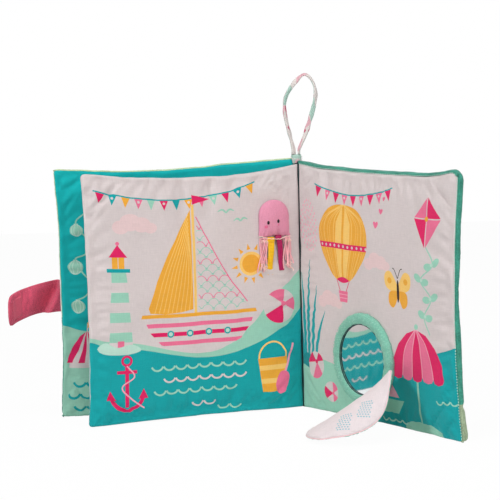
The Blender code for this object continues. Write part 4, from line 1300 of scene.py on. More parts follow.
hiddenNodes = ("leaf_right_page", "leaf_wadding_right", "leaf_crinkle_film")
frontNodes, backNodes = [(body + "_lining", body + "_wadding") for body in ("front_cover", "back_cover")]
makePage("leftPage", "leftPage", printLeft(), "leaf", "printed_cotton", "leaf_left_page", "leaf_wadding_left")
makePage("rightPage", "rightPage", printHidden(), "leaf", "printed_cotton", *hiddenNodes)
makePage("frontLining", "frontPage", printFront(), "front_cover", "teal_print", *frontNodes)
makePage("backLining", "backPage", printRight(), "back_cover", "printed_cotton", *backNodes)


# plush outsides: how the pile cloth rolls round each edge, and where its two colours are sewn together
plushMake = {
    "front": {
        "page": "frontPage", "body": "front_cover", "rim": 0.0036, "rise": 0.0062, "seed": 31,
        "seam": 0.080, "narrow": (0.100, 0.0, 0.02),
        "fore": (1.2, -50), "foot": (1.6, -30), "top": (1.3, -70), "root": (1.0, -20),
        "parts": [
            ("frontPlushLower", mintPlush, "mint_plush", "front_cover_plush_lower"),
            ("frontPlushUpper", limePlush, "lime_plush", "front_cover_plush_upper"),
        ],
    },
    "back": {
        "page": "backPage", "body": "back_cover", "rim": 0.0050, "rise": 0.0066, "seed": 32,
        "seam": 0.026, "narrow": (0.108, 0.42, 0.024),
        "fore": (2.4, -80), "foot": (2.2, -30), "top": (1.9, -115), "root": (1.0, -20),
        "parts": [
            ("backPlushLower", creamPlush, "cream_plush", "back_cover_plush_lower"),
            ("backPlushUpper", mintPlush, "mint_plush", "back_cover_plush_upper"),
        ],
    },
}
# in metres: the net that plush is made on, its thickness, and its groove along the seam
pileMake = {
    "step": 0.0019, "thick": 0.0010, "fill": 0.75, "seamGap": 0.00015, "groove": 0.0016,
    "grooveWide": 0.0022,
}


def arcStations(seamIn, arc, count=9):
    # offsets from the outline and shares of full depth, where cloth rolls from the seam round an edge
    radius, start = arc[0] * mm, math.radians(arc[1])
    turns = np.linspace(start, math.pi / 2, count)
    reach = seamIn + radius * (math.cos(start) - np.cos(turns))
    return reach, (np.sin(turns) - math.sin(start)) / (1 - math.sin(start))


def sideStations(length, lowArc, highArc, low, high, clear=()):
    # share of the length, offset in metres and factor for each row of a plush sheet
    rows = []
    if lowArc is not None:
        rows += [(0.0, offset, factor) for offset, factor in zip(*lowArc)]
    middle = np.linspace(low, high, max(3, round((high - low) * length / pileMake["step"])))
    middle = np.unique(np.concatenate([middle, [c for c in clear if low < c < high]]))
    lowOff = lowArc[0][-1] if lowArc is not None else 0.0
    highOff = highArc[0][-1] if highArc is not None else 0.0
    least, most = -1 if lowArc is None else 0.002, 2 if highArc is None else 0.998
    inner = [share for share in middle if least < share < most]
    rows += [(share, lowOff * (1 - share) - highOff * share, 1.0) for share in inner]
    if highArc is not None:
        rows += [(1.0, -offset, factor) for offset, factor in zip(highArc[0][::-1], highArc[1][::-1])]
    return np.array(rows)


def plushPoints(name, columns, rows):
    make = plushMake[name]
    panel = panels[name]
    across, up = np.meshgrid(columns[:, 0], rows[:, 0])
    sideOff, upOff = np.meshgrid(columns[:, 1], rows[:, 1])
    factor = columns[None, :, 2] * rows[:, None, 2]
    along, high = panel.outline(across, up, outset=(sideOff, upOff))
    centre, share, reach = make["narrow"]
    narrowed = share * np.exp(-(((high - centre) / reach) ** 2)) * np.clip(across * 2 - 0.6, 0, 1)
    rim = panel.rootRim + (make["rim"] * (1 - narrowed) - panel.rootRim) * np.minimum(1, across / 0.06)
    fullness = rim + (make["rise"] - rim) * crown(across, up)
    off = high - make["seam"]
    groove = pileMake["groove"] * np.exp(-((off / pileMake["grooveWide"]) ** 2))
    groove = groove * np.minimum(1, fullness / 0.004)
    seed = make["seed"]
    slow = cloudField(seed, across, up, 9, 9) * 0.0005 + cloudField(seed + 1, across, up, 30, 31) * 0.00018
    nap = cloudField(seed + 2, across, up, 130, 134) * 0.00016
    ripple = edgeWave(seed + 3, across, 40) * np.exp(-((off / 0.008) ** 2)) * 0.0006
    depth = -(fullness - groove + slow + nap + ripple)
    seamDepth = sheetMake[make["page"]]["seamDepth"]
    points = panel.place(along, high, seamDepth * (1 - factor) + depth * factor)
    # the roll at the edges keeps its nap too
    fuzz = cloudField(seed + 4, across + sideOff * 5, up + upOff * 5, 150, 150) * 0.00022
    fuzz = fuzz * (1 - factor) * np.minimum(1, factor * 6)
    points = points + fuzz[..., None] * (skyward + panel.along)
    if -1 in panel.puffed:
        points = points + sampled(panel.puffed[-1], across, up) * factor[..., None]
    return points, np.stack([along, high], axis=-1)


def makePlush(name):
    make = plushMake[name]
    panel = panels[name]
    inset = sheetMake[make["page"]]["inset"]
    arcs = {edge: arcStations(gap, make[edge]) for edge, gap in zip(("fore", "foot", "top"), inset[1:])}
    root = arcStations(inset[0], make["root"], 5)
    columns = sideStations(panel.width, root, arcs["fore"], 0, 1)
    seam = make["seam"] / panel.height
    near = [seam + shift * mm / panel.height for shift in (-3, -2, -1.2, -0.5, 0.5, 1.2, 2, 3)]
    gap = pileMake["seamGap"] / panel.height
    lower = sideStations(panel.height, arcs["foot"], None, 0, seam - gap, near)
    upper = sideStations(panel.height, None, arcs["top"], seam + gap, 1, near)
    for rows, (pieceName, finish, slotName, node) in zip((lower, upper), make["parts"]):
        points, cloth = plushPoints(name, columns, rows)
        piece = gridShell(pieceName, points, pileMake["thick"], -panel.inward, finish, cloth)
        settle(piece, make["body"], slotName, node, fill=pileMake["fill"])
        print(pieceName, "made")


makePlush("front")
makePlush("back")


# stitches and yarn, grown along any lines by Geometry Nodes trees
def startLineTree(name, values):
    tree = bpy.data.node_groups.new(name, "GeometryNodeTree")
    face = tree.interface
    face.new_socket("Geometry", in_out="INPUT", socket_type="NodeSocketGeometry")
    for label, value in values.items():
        face.new_socket(label, in_out="INPUT", socket_type="NodeSocketFloat").default_value = value
    face.new_socket("Thread", in_out="INPUT", socket_type="NodeSocketMaterial")
    face.new_socket("Geometry", in_out="OUTPUT", socket_type="NodeSocketGeometry")
    given = tree.nodes.new("NodeGroupInput").outputs
    return tree, given, put(tree, "GeometryNodeMeshToCurve", {0: given["Geometry"]}).outputs[0]


def finishLineTree(tree, given, grown):
    real = put(tree, "GeometryNodeRealizeInstances", {0: grown.outputs[0]}).outputs[0]
    threaded = put(tree, "GeometryNodeSetMaterial", {"Geometry": real, "Material": given["Thread"]})
    wire(tree, tree.nodes.new("NodeGroupOutput"), {0: threaded.outputs[0]})
    return tree


def makeStitchTree():
    # a small bead of thread at every step
    tree, given, line = startLineTree("stitchLine", {"Spacing": 0.003, "Length": 0.002, "Thickness": 0.0004})
    steps = {"Curve": line, "Length": given["Spacing"]}
    spots = put(tree, "GeometryNodeCurveToPoints", steps, mode="LENGTH").outputs
    bead = put(tree, "GeometryNodeMeshUVSphere", {"Segments": 8, "Rings": 5, "Radius": 0.5})
    turned = put(tree, "FunctionNodeAlignRotationToVector", {"Vector": spots["Tangent"]}, axis="Z")
    thick = given["Thickness"]
    size = put(tree, "ShaderNodeCombineXYZ", {0: thick, 1: thick, 2: given["Length"]})
    beads = {"Points": spots["Points"], "Instance": bead.outputs["Mesh"]}
    beads.update({"Rotation": turned.outputs[0], "Scale": size.outputs[0]})
    return finishLineTree(tree, given, put(tree, "GeometryNodeInstanceOnPoints", beads))


def makeStrandTree():
    # a round profile swept along each line
    tree, given, line = startLineTree("yarnStrand", {"Thickness": 0.0008, "Step": 0.0006})
    even = put(tree, "GeometryNodeResampleCurve", {"Curve": line, "Length": given["Step"]}, mode="LENGTH")
    radius = maths(tree, "MULTIPLY", given["Thickness"], 0.5)
    profile = put(tree, "GeometryNodeCurvePrimitiveCircle", {"Resolution": 7, "Radius": radius})
    swept = {"Curve": even.outputs[0], "Profile Curve": profile.outputs[0], "Fill Caps": True}
    return finishLineTree(tree, given, put(tree, "GeometryNodeCurveToMesh", swept))


stitchTree, strandTree = makeStitchTree(), makeStrandTree()


def grow(name, source, tree, values):
    # runs a tree on an object and leaves a plain mesh in its place
    modifier = source.modifiers.new("grow", "NODES")
    modifier.node_group = tree
    sockets = {item.name: item.identifier for item in tree.interface.items_tree if item.in_out == "INPUT"}
    for label, value in values.items():
        modifier[sockets[label]] = value
    bpy.context.view_layer.update()
    graph = bpy.context.evaluated_depsgraph_get()
    mesh = bpy.data.meshes.new_from_object(source.evaluated_get(graph), depsgraph=graph)
    made = linked(name, mesh)
    mesh.name = name
    bpy.data.objects.remove(source, do_unlink=True)
    mesh.shade_smooth()
    return made


def threadLines(name, paths, tree, values):
    points, edges = [], []
    for path in paths:
        first = len(points)
        points += [tuple(p) for p in path]
        edges += [(first + n, first + n + 1) for n in range(len(path) - 1)]
    mesh = bpy.data.meshes.new(name + "Line")
    mesh.from_pydata(points, edges, [])
    return grow(name, linked(name + "Line", mesh), tree, values)


def stitches(name, paths, body, finish, spacing, length, thick, slotName):
    values = {"Spacing": spacing, "Length": length, "Thickness": thick, "Thread": finish}
    settle(threadLines(name, paths, stitchTree, values), body, slotName)


def strands(name, paths, body, finish, thick, slotName, *replaced):
    values = {"Thickness": thick, "Step": thick * 0.8, "Thread": finish}
    settle(threadLines(name, paths, strandTree, values), body, slotName, *replaced)


# jellyfish, sewn to the leaf
jellyMake = {
    "across": 0.0211, "foot": 0.1424, "width": 0.0266, "height": 0.0282, "rise": 0.0056, "rim": 0.0009,
    "lift": -0.0008, "eyes": [(-0.0065, 0.0106), (0.0020, 0.0113)], "eye": (0.00108, 0.0016),
    "cheeks": [((-0.0082, 0.0072), 0.0015), ((0.0023, 0.0082), 0.0009)],
}


def jellyShape(across, up):
    # place on the page at shares of the bell; its foot is higher on the fold's side
    make = jellyMake
    over = np.maximum(0, up - 0.50) / 0.50
    taper = np.sqrt(np.maximum(1 - 0.985 * over**2.15, 0.0)) * (1 - 0.03 * bow(np.clip(up * 1.3, 0, 1)))
    side = (across - 0.5) * make["width"] * taper
    low = make["lift"] * np.clip((0.5 - across) / 0.5, 0, 1)
    low = low + 0.0004 * np.sin(across * 14) + 0.0002 * np.sin(across * 47)
    high = make["foot"] + low + up * (make["height"] - low)
    return make["across"] + side, high


def jellySurface(along, up, lift):
    return panels["leaf"].place(along, up, surfaceAt("leftPage", along, up) + lift)


def jellyCrown(across, up):
    fold = np.exp(-(((across - 0.40) / 0.06) ** 2)) * np.clip(1 - up / 0.30, 0, 1) * 0.0020
    fold = fold + (0.5 + 0.5 * np.sin(across * 62)) * np.clip(1 - up / 0.16, 0, 1) * 0.0006
    full = (bow(across) * bow(np.clip(0.04 + 0.96 * up, 0, 1))) ** 0.42
    return jellyMake["rim"] + (jellyMake["rise"] - jellyMake["rim"]) * full - fold


def makeBell():
    shares = (1 - np.cos(np.linspace(0, math.pi, 46))) / 2
    across, up = np.meshgrid(shares, shares)
    along, high = jellyShape(across, up)
    dents = cloudField(51, across, up, 8, 8) * 0.00018 + cloudField(52, across, up, 40, 46) * 0.00005
    under, over = 0.0003, 0.0003 + jellyCrown(across, up) + dents
    low, crest = [jellySurface(along, high, np.where(rimOf(across), 0.0009, lift)) for lift in (under, over)]
    bell = closedPad("jellyBell", low, crest, jellyVelour)
    settle(bell, "leaf", "jellyfish_velour", "jellyfish_bell", "jellyfish_wadding", fill=0.8)
    outline = [(0.0, s) for s in np.linspace(0.02, 1, 26)] + [(s, 1.0) for s in np.linspace(0.04, 1, 14)]
    outline += [(1.0, s) for s in np.linspace(0.96, 0.02, 26)]
    edge = np.array([jellySurface(*jellyShape(*np.array(spot)), 0.0012) for spot in outline])
    inner = edge + (edge.mean(0) - edge) * 0.035 + panels["leaf"].inward * 0.0004
    stitches("jellyStitches", [inner], "leaf", pinkThread, 0.0019, 0.0013, 0.00032, "jellyfish_velour")


def makeHem():
    # a gathered band along the bell's foot, and the thread over it
    shares = np.linspace(0.0, 1.0, 40)
    a, b = jellyShape(shares, np.zeros(40))
    line = jellySurface(a, b + 0.0003, 0.0011 + 0.0002 * np.sin(np.arange(40) * 1.9))
    hem = addTube("jellyHem", line, 0.0022, jellyVelour, 0.0020)
    settle(hem, "leaf", "jellyfish_velour", "jellyfish_hem")
    shares = np.linspace(0.0, 1.05, 40)
    reach = np.clip(shares, 0, 1)
    a, b = jellyShape(reach, np.zeros(40))
    high = b - 0.0008 - 0.0018 * bow(shares) + 0.0006 * np.sin(shares * 9)
    path = jellySurface(a + (shares - reach) * jellyMake["width"], high, 0.0046)
    thread = addTube("jellyThread", smoothPath(path, 0.0006)[0], 0.00062, creamYarn, sides=8)
    settle(thread, "leaf", "pink_yarn")


def jellySpot(name, place, size, thick, finish):
    # an eye or a cheek: a small domed disc on the bell
    side, up = jellyMake["across"] - place[0], jellyMake["foot"] + place[1]
    rounds = np.sin(np.linspace(0.06, 1, 7) * math.pi / 2)
    radius, angle = np.meshgrid(rounds, np.linspace(0, 2 * math.pi, 21))
    along = side + radius * np.cos(angle) * size[0]
    high = up + radius * np.sin(angle) * size[1]
    width = jellyMake["width"]
    across = np.clip((along - jellyMake["across"]) / width + 0.5, 0.05, 0.95)
    share = np.clip((high - jellyMake["foot"]) / jellyMake["height"], 0.05, 0.95)
    lift = 0.0003 + jellyCrown(across, share) + thick * np.sqrt(np.maximum(1 - radius**2, 0)) - 0.00005
    grid = jellySurface(along, high, lift)
    middle = jellySurface(np.array(side), np.array(up), lift[0, 0])
    points = np.concatenate([grid[:-1].reshape(-1, 3), [middle]])
    solid, faces, _, _ = shell(points, discTriangles(20, 7), 0.0002, panels["leaf"].inward)
    settle(addMesh(name, solid, faces, finish), "leaf", "jellyfish_velour")


makeBell()
makeHem()
for number, spot in enumerate(jellyMake["eyes"]):
    jellySpot("jellyEye" + str(number), spot, jellyMake["eye"], 0.0004, eyeThread)
for number, (spot, reach) in enumerate(jellyMake["cheeks"]):
    jellySpot("jellyCheek" + str(number), spot, (reach, reach * 0.85), 0.00012, cheekCloth)
print("jellyfish made")


# ribbons and yarn that hang from the jellyfish; reader's right is towards the fold
hangMake = {
    "yellow": {
        "joint": "yellow_ribbon_swing", "body": "yellow_ribbon", "node": "ribbon_yellow",
        "slot": "yellow_satin", "finish": yellowSatin, "width": 0.0054, "length": 0.0305, "taper": 0.84,
        "lean": -0.0002, "shift": -0.0014, "wave": 0.0010, "low": -0.0010,
    },
    "magenta": {
        "joint": "magenta_ribbon_swing", "body": "magenta_ribbon", "node": "ribbon_magenta",
        "slot": "magenta_satin", "finish": magentaSatin, "width": 0.0046, "length": 0.0290, "taper": 0.92,
        "lean": 0.0034, "shift": -0.0026, "wave": 0.0009, "low": -0.0024,
    },
}


def makeRibbon(name, make):
    place = np.array(joints[make["joint"]]["pos_m"])
    leaf = panels["leaf"]
    right = -leaf.along
    down = np.linspace(0, 1, 44)
    across = np.linspace(-0.5, 0.5, 12)
    d, s = np.meshgrid(down, across, indexing="ij")
    width = make["width"] * (1 + (make["taper"] - 1) * d) * (1 - 0.10 * np.exp(-(((d - 0.1) / 0.05) ** 2)))
    curl = 0.0024 * s * s * np.cos(d * 5.0) + make["wave"] * np.sin(d * 4.6 + 0.4) + 0.00012 * np.sin(d * 70)
    side = s * width + make["shift"] + make["lean"] * d + 0.0003 * np.sin(d * 5)
    drop = d * make["length"] - 0.0008 + make["low"]
    points = place + np.stack([side, 0.0008 + curl, -drop], axis=-1) @ np.array([right, leaf.inward, skyward])
    cloth = np.stack([s * make["width"], d * make["length"]], axis=-1)
    ribbon = gridShell("ribbon" + name.capitalize(), points, 0.0004, leaf.inward, make["finish"], cloth)
    settle(ribbon, make["body"], make["slot"], make["node"])
    # the folded-over head of the ribbon
    t = np.linspace(-1, 1, 14)[:, None]
    head = place + right * (make["shift"] + make["width"] * 0.52 * t)
    head = head + leaf.inward * (0.0017 - 0.0003 * t * t) - skyward * (0.0016 + make["low"] + 0.0003 * t)
    roll = addTube("ribbonHead" + name.capitalize(), head, 0.0036, make["finish"], 0.0022, sides=14)
    settle(roll, make["body"], make["slot"])


for name, make in hangMake.items():
    makeRibbon(name, make)


fringeMake = {
    "left": {
        "joint": "left_fringe_swing", "body": "left_fringe", "node": "fringe_left",
        "strands": 8, "spread": -0.0028, "shift": -0.0008, "seed": 61,
    },
    "right": {
        "joint": "right_fringe_swing", "body": "right_fringe", "node": "fringe_right",
        "strands": 9, "spread": 0.0016, "shift": -0.0008, "seed": 62,
    },
}


# in metres: the head that strands hang from, their length and how their plies twist. tufts is a number
yarnMake = {"wide": 0.0046, "length": 0.0245, "twist": 0.0026, "ply": 0.00030, "tufts": 26}


def makeFringe(name, make):
    place = np.array(joints[make["joint"]]["pos_m"])
    leaf = panels["leaf"]
    right, out = -leaf.along, leaf.inward
    rng = np.random.default_rng(make["seed"])
    paths, tufts = [], []
    for number in range(make["strands"]):
        start = make["shift"] + (number / (make["strands"] - 1) - 0.5) * yarnMake["wide"]
        lean = make["spread"] * rng.uniform(0.1, 1.0) + start * 0.3
        length = rng.uniform(0.78, 1.12) * yarnMake["length"]
        bend, phase, off = rng.uniform(0.0006, 0.0014), rng.uniform(0, 6), rng.uniform(0.0004, 0.0016)
        down = np.linspace(0, 1, 30)
        # two plies twist round each other along each strand
        for ply in (0, math.pi):
            spin = down * length / yarnMake["twist"] * 2 * math.pi + ply
            side = start + lean * down**1.5 + bend * np.sin(down * 4 + phase) + yarnMake["ply"] * np.cos(spin)
            lift = off + 0.0006 * np.sin(down * 3 + phase) + yarnMake["ply"] * np.sin(spin)
            fall = (down * length - 0.0010)[:, None] * skyward
            paths.append(place + side[:, None] * right + lift[:, None] * out - fall)
    for number in range(yarnMake["tufts"]):
        # short loose ends at the head and at the cut foot
        low = 0.0006 if number % 2 else rng.uniform(0.018, 0.024)
        side = make["shift"] + rng.uniform(-0.0024, 0.0024) + (make["spread"] * 0.6 if low > 0.01 else 0)
        start = place + right * side + out * rng.uniform(0.0008, 0.0022) - skyward * low
        way = right * rng.uniform(-1, 1) + out * rng.uniform(-0.2, 0.6) - skyward * rng.uniform(0.2, 1.4)
        s = np.linspace(0, 1, 7)[:, None]
        tufts.append(start + way * rng.uniform(0.0014, 0.0030) * s + right * 0.0006 * np.sin(s * 3))
    strands("fringe" + name.capitalize(), paths, make["body"], pinkYarn, 0.00074, "pink_yarn", make["node"])
    strands("fringeTuft" + name.capitalize(), tufts, make["body"], creamYarn, 0.00055, "pink_yarn")


for name, make in fringeMake.items():
    makeFringe(name, make)
print("ribbons and yarn made")


def nodePoints(name):
    return np.array([vertex.co for vertex in frame["nodes"][name].data.vertices], float)


# mirror and its ring on the back cover
mirrorMake = {"across": 0.0835, "up": 0.0496, "outer": 0.0364, "inner": 0.0278, "film": 0.03124}


def backDepth(name):
    depths = (nodePoints(name) - panels["back"].root) @ panels["back"].inward
    return depths.min(), depths.max()


def ringSpot(radius, angle, depth):
    across, up = mirrorMake["across"], mirrorMake["up"]
    return panels["back"].place(across + radius * np.cos(angle), up + radius * np.sin(angle), depth)


def turnedRing(name, sections, finish):
    # closed sections round the mirror's middle, one for each angle
    faces = ringFaces(*sections.shape[:2], True)
    return rightSideOut(addMesh(name, sections.reshape(-1, 3), faces, finish))


def makeMirror():
    make = mirrorMake
    filmLow, filmTop = backDepth("mirror_film")
    crest = backDepth("mirror_ring")[1]
    angles = np.linspace(0, 2 * math.pi, 144, endpoint=False)
    inner, outer = make["inner"], make["outer"]
    middle, half = (inner + outer) / 2, (outer - inner) / 2
    edge = make["across"] + outer * np.cos(angles), make["up"] + outer * np.sin(angles)
    bases = surfaceAt("backPage", *edge) + 0.00015
    sections = []
    for angle, base in zip(angles, bases):
        wave = 0.00018 * math.sin(angle * 19) + 0.00015 * math.sin(angle * 31 + 1)
        section = []
        for turn in np.linspace(0, math.pi, 15):
            radius = middle + half * math.cos(turn) * (1 + wave / half)
            foot = base if turn < math.pi / 2 else filmTop + 0.0003
            section.append((radius, foot + (crest + wave - foot) * math.sin(turn) ** 0.7))
        section.append((make["film"] + 0.0004, filmTop + 0.0003))
        section.append((make["film"] + 0.0004, max(base, filmLow - 0.0008)))
        sections.append([ringSpot(radius, angle, depth) for radius, depth in section])
    settle(turnedRing("mirrorRing", np.array(sections), ringCloth), "back_cover", "ring_mint", "mirror_ring")
    # a dark piping round the ring's inner edge, as painted shade for the shadow between the ring and the
    # mirror
    line = ringSpot(inner - 0.0001, angles, filmTop + 0.0008)
    piping = addTube("ringShadePiping", line, 0.0009, ringShadeThread, sides=8, closed=True)
    settle(piping, "back_cover", "ring_mint")
    loop = np.append(angles, angles[:3])
    spots = ((outer - 0.0011, 0.62), (inner + 0.0016, 0.80))
    rows = [ringSpot(radius, loop, filmTop + (crest - filmTop) * lift + 0.0001) for radius, lift in spots]
    stitches("ringStitches", rows, "back_cover", mintThread, 0.0027, 0.0018, 0.0004, "ring_mint")
    radius, angle = np.meshgrid(np.linspace(0, make["film"], 14)[1:], angles)
    disc = np.concatenate([ringSpot(radius, angle, filmTop).reshape(-1, 3), [ringSpot(0, 0, filmTop)]])
    triangles = discTriangles(*radius.shape)
    solid, faces, _, _ = shell(disc, triangles, filmTop - filmLow, panels["back"].inward)
    film = addMesh("mirrorFilm", solid, faces, mirrorFilm)
    film.data.shade_flat()
    settle(film, "back_cover", "mirror_film", "mirror_film")
    near, far, high, low = 0.012, make["film"] - 0.0003, filmLow - 0.0003, filmLow - 0.0010
    section = ((near, high), (far, high), (far, low), (near, low))
    sections = np.stack([ringSpot(radius, angles, depth) for radius, depth in section], axis=1)
    settle(turnedRing("mirrorBacking", sections, plainCotton), "back_cover", "wadding", "mirror_backing")


makeMirror()
print("mirror made")


# the round flap over the mirror
flapMake = {
    "place": -36.8, "length": 0.0838, "width": 0.0725, "first": 0.045, "last": 0.985,
    "open": 93.0, "droop": 48.6, "twist": 52.6, "cups": (25.0, 85.0),
    "half": 0.0019, "rimShare": 0.62, "rootRim": 0.0007, "rootLap": 0.0012, "past": 0.0006,
}


def alongSteps(strides, share):
    # the place at a share of a line that is given step by step
    line = np.concatenate([np.zeros((1, 3)), strides.cumsum(0)])
    knots = np.linspace(0, 1, len(line))
    return np.stack([np.interp(share, knots, way) for way in line.T], axis=-1)


def flapFrame():
    back = panels["back"]
    place = math.radians(flapMake["place"])
    outward = back.along * math.cos(place) + skyward * math.sin(place)
    sideways = skyward * math.cos(place) - back.along * math.sin(place)
    return np.array(joints["mirror_flap_fold"]["pos_m"]), outward, sideways, back.inward


def flapReach(share):
    # half the flap's width; its root end is blunter than its tip
    power = np.where(share < 0.5, 2.55, 2.0)
    return flapMake["width"] / 2 * np.maximum(0, 1 - np.abs(2 * share - 1) ** power) ** (1 / power)


def flapPlace(share, side, depth):
    # a point of the flap at a share of its length, a real length to the side and a depth off its middle
    make = flapMake
    axis, outward, sideways, inward = flapFrame()
    steps = 24
    middles = np.radians(make["open"] + make["droop"] * (np.arange(steps) + 0.5) / steps)
    stride = make["length"] / steps
    strides = np.sin(middles)[:, None] * stride * inward - np.cos(middles)[:, None] * stride * outward
    lap = strides[0] / np.linalg.norm(strides[0]) * make["rootLap"]
    spot = alongSteps(strides, share) - alongSteps(strides, make["first"]) - lap
    angle = np.radians(make["open"] + make["droop"] * share)
    ahead = np.sin(angle)[..., None] * inward - np.cos(angle)[..., None] * outward
    normal = np.cross(np.broadcast_to(sideways, ahead.shape), ahead)
    twist = np.radians(make["twist"]) * share
    wide = np.cos(twist)[..., None] * sideways + np.sin(twist)[..., None] * normal
    high = np.cos(twist)[..., None] * normal - np.sin(twist)[..., None] * sideways
    # the side next to the ring curls up more
    cup = np.radians(np.where(side > 0, make["cups"][1], make["cups"][0]))
    bend = cup * np.maximum(share, 0.001) / make["width"]
    turned = bend * side
    shifted = (np.sin(turned) / bend)[..., None] * wide + ((1 - np.cos(turned)) / bend)[..., None] * high
    above = np.cos(turned)[..., None] * high - np.sin(turned)[..., None] * wide
    return axis + spot + shifted + depth[..., None] * above


def flapHalf(across, up):
    make = flapMake
    rim = make["rootRim"] + (make["half"] * make["rimShare"] - make["rootRim"]) * np.minimum(1, across / 0.06)
    return rim + (make["half"] - rim) * crown(across, up)


def flapSide(name, side, artwork, finish, slotName, *replaced, seed):
    # one face of the flap, cut with its print from an oval sheet
    make = flapMake
    length = make["length"]
    shares = np.linspace(make["first"], make["last"], 60)
    run, reach = shares * length / mm, flapReach(shares) / mm
    outline = list(zip(run, -reach)) + list(zip(run[::-1], reach[::-1]))
    net = []
    for share in np.linspace(make["first"] + 0.006, make["last"] - 0.006, 46):
        wide = flapReach(share) / mm
        edges = np.array([0.12, 0.4, 0.9, 1.7, 2.8])
        edges = edges[edges < wide]
        middle = np.linspace(4 - wide, wide - 4, max(2, int(wide))) if wide > 5 else []
        net += [(share * length / mm, y) for y in np.concatenate([edges - wide, middle, wide - edges])]
    cut = cutSheet(artwork, outline, net, artwork.ground)
    share = np.clip(cut[0][:, 0] * mm / length, make["first"], make["last"])
    wide = flapReach(share)
    lateral = np.clip(cut[0][:, 1] * mm, -wide, wide)
    across, up = (share - make["first"]) / (make["last"] - make["first"]), (lateral / wide + 1) / 2
    # the back cloth comes a little past the piping
    lateral = lateral * (1 + (make["past"] / wide if side > 0 else 0))
    gapSide, gapEnd = wide * (1 - np.abs(2 * up - 1)), np.minimum(across, 1 - across) * length
    seam = rounded(np.minimum(gapSide, gapEnd), 0.0014)
    soft = cloudField(seed, across, up, 7, 7) * 0.00045 + cloudField(seed + 1, across, up, 22, 20) * 0.00018
    turn = np.arctan2(lateral, share * length - length / 2)
    pucker = np.sin(turn * 34) * np.exp(-((gapSide / 0.006) ** 2)) * 0.00022
    depth = side * ((flapHalf(across, up) + soft + pucker) * seam + 0.00010 * (1 - seam))
    under, over = flapPlace(np.full(2, 0.5), np.zeros(2), np.array([0, 0.01 * side]))
    points = flapPlace(share, lateral, depth)
    piece = addPrinted(name, cut, points, 0.0004, over - under, finish, artwork.ground)
    settle(piece, "mirror_flap", slotName, *replaced, fill=0.5)


class FlapPrint(Print):
    def __init__(self, ground):
        self.ground, self.flipped, self.shapes = inks[ground], False, []


def makeFlap():
    # two blocks of small dots
    face = FlapPrint("flapWhite")
    for startAlong, startSide in ((47, 15), (60, 1)):
        for row in range(8):
            for column in range(5):
                side = startSide + (column + row % 2 / 2) * 2.1
                face.disc(startAlong + row * 2.4, side, 0.64, "skyTeal", count=8)
    inside, outside = ("flap_inner_panel", "flap_batting"), "flap_outer_panel"
    flapSide("flapFace", -1, face, printedCotton, "printed_cotton", *inside, seed=71)
    flapSide("flapBack", 1, FlapPrint("mint"), flapBackCloth, "ring_mint", outside, seed=72)
    first, last = flapMake["first"], flapMake["last"]
    shares = np.linspace(first + 0.004, last, 70)
    reach = flapReach(shares)
    around, sides = np.concatenate([shares, shares[::-1]]), np.concatenate([reach, -reach[::-1]])
    path, _ = smoothPath(flapPlace(around, sides, np.zeros(140)), 0.0012)
    piping = addTube("flapPiping", path, 0.0008, palePiping, sides=9)
    settle(piping, "mirror_flap", "printed_cotton")
    rows = []
    shares, reach = shares[3:-3], reach[3:-3]
    for side in (1, -1):
        sewn = side * np.maximum(reach - 0.0028, 0.001)
        half = flapHalf((shares - first) / (last - first), (sewn / reach + 1) / 2)
        rows.append(flapPlace(shares, sewn, -half - 0.0001))
    stitches("flapStitches", rows, "mirror_flap", whiteThread, 0.0026, 0.0018, 0.00035, "printed_cotton")


makeFlap()


def makeTape():
    # the tape that hinges the flap to the ring
    axis, outward, sideways, inward = flapFrame()
    box = nodePoints("flap_hinge_tape") - axis
    spans = [(box @ way).min() for way in (outward, sideways, inward)]
    ends = [(box @ way).max() for way in (outward, sideways, inward)]
    (x0, y0, z0), (x1, y1, z1) = spans, ends
    shares = np.linspace(0, 1, 30)
    middle = axis + outward * (x0 + x1) / 2 + inward * (z0 + z1) / 2
    path = middle + sideways * (y0 + (y1 - y0) * shares)[:, None]
    width = (x1 - x0) * (1 + 0.03 * np.sin(shares * 40))
    tape = addTube("flapTape", path, width, plainCotton, z1 - z0, tapeTurns(path, outward))
    settle(tape, "back_cover", "printed_cotton", "flap_hinge_tape")


makeTape()
print("flap made")


# closure tab at the front cover's fore edge, and the patch that it sticks to
tabMake = {
    "length": 0.0480, "rootWidth": 0.0255, "tipWidth": 0.0236, "half": 0.0019,
    "height": 0.0985, "droop": 0.0118, "startTurn": -20.0, "endTurn": 78.0,
    "fold": ((0.05, 0.88), (0.34, 0.02)), "foldDeep": 0.0085, "foldWide": 0.08,
}


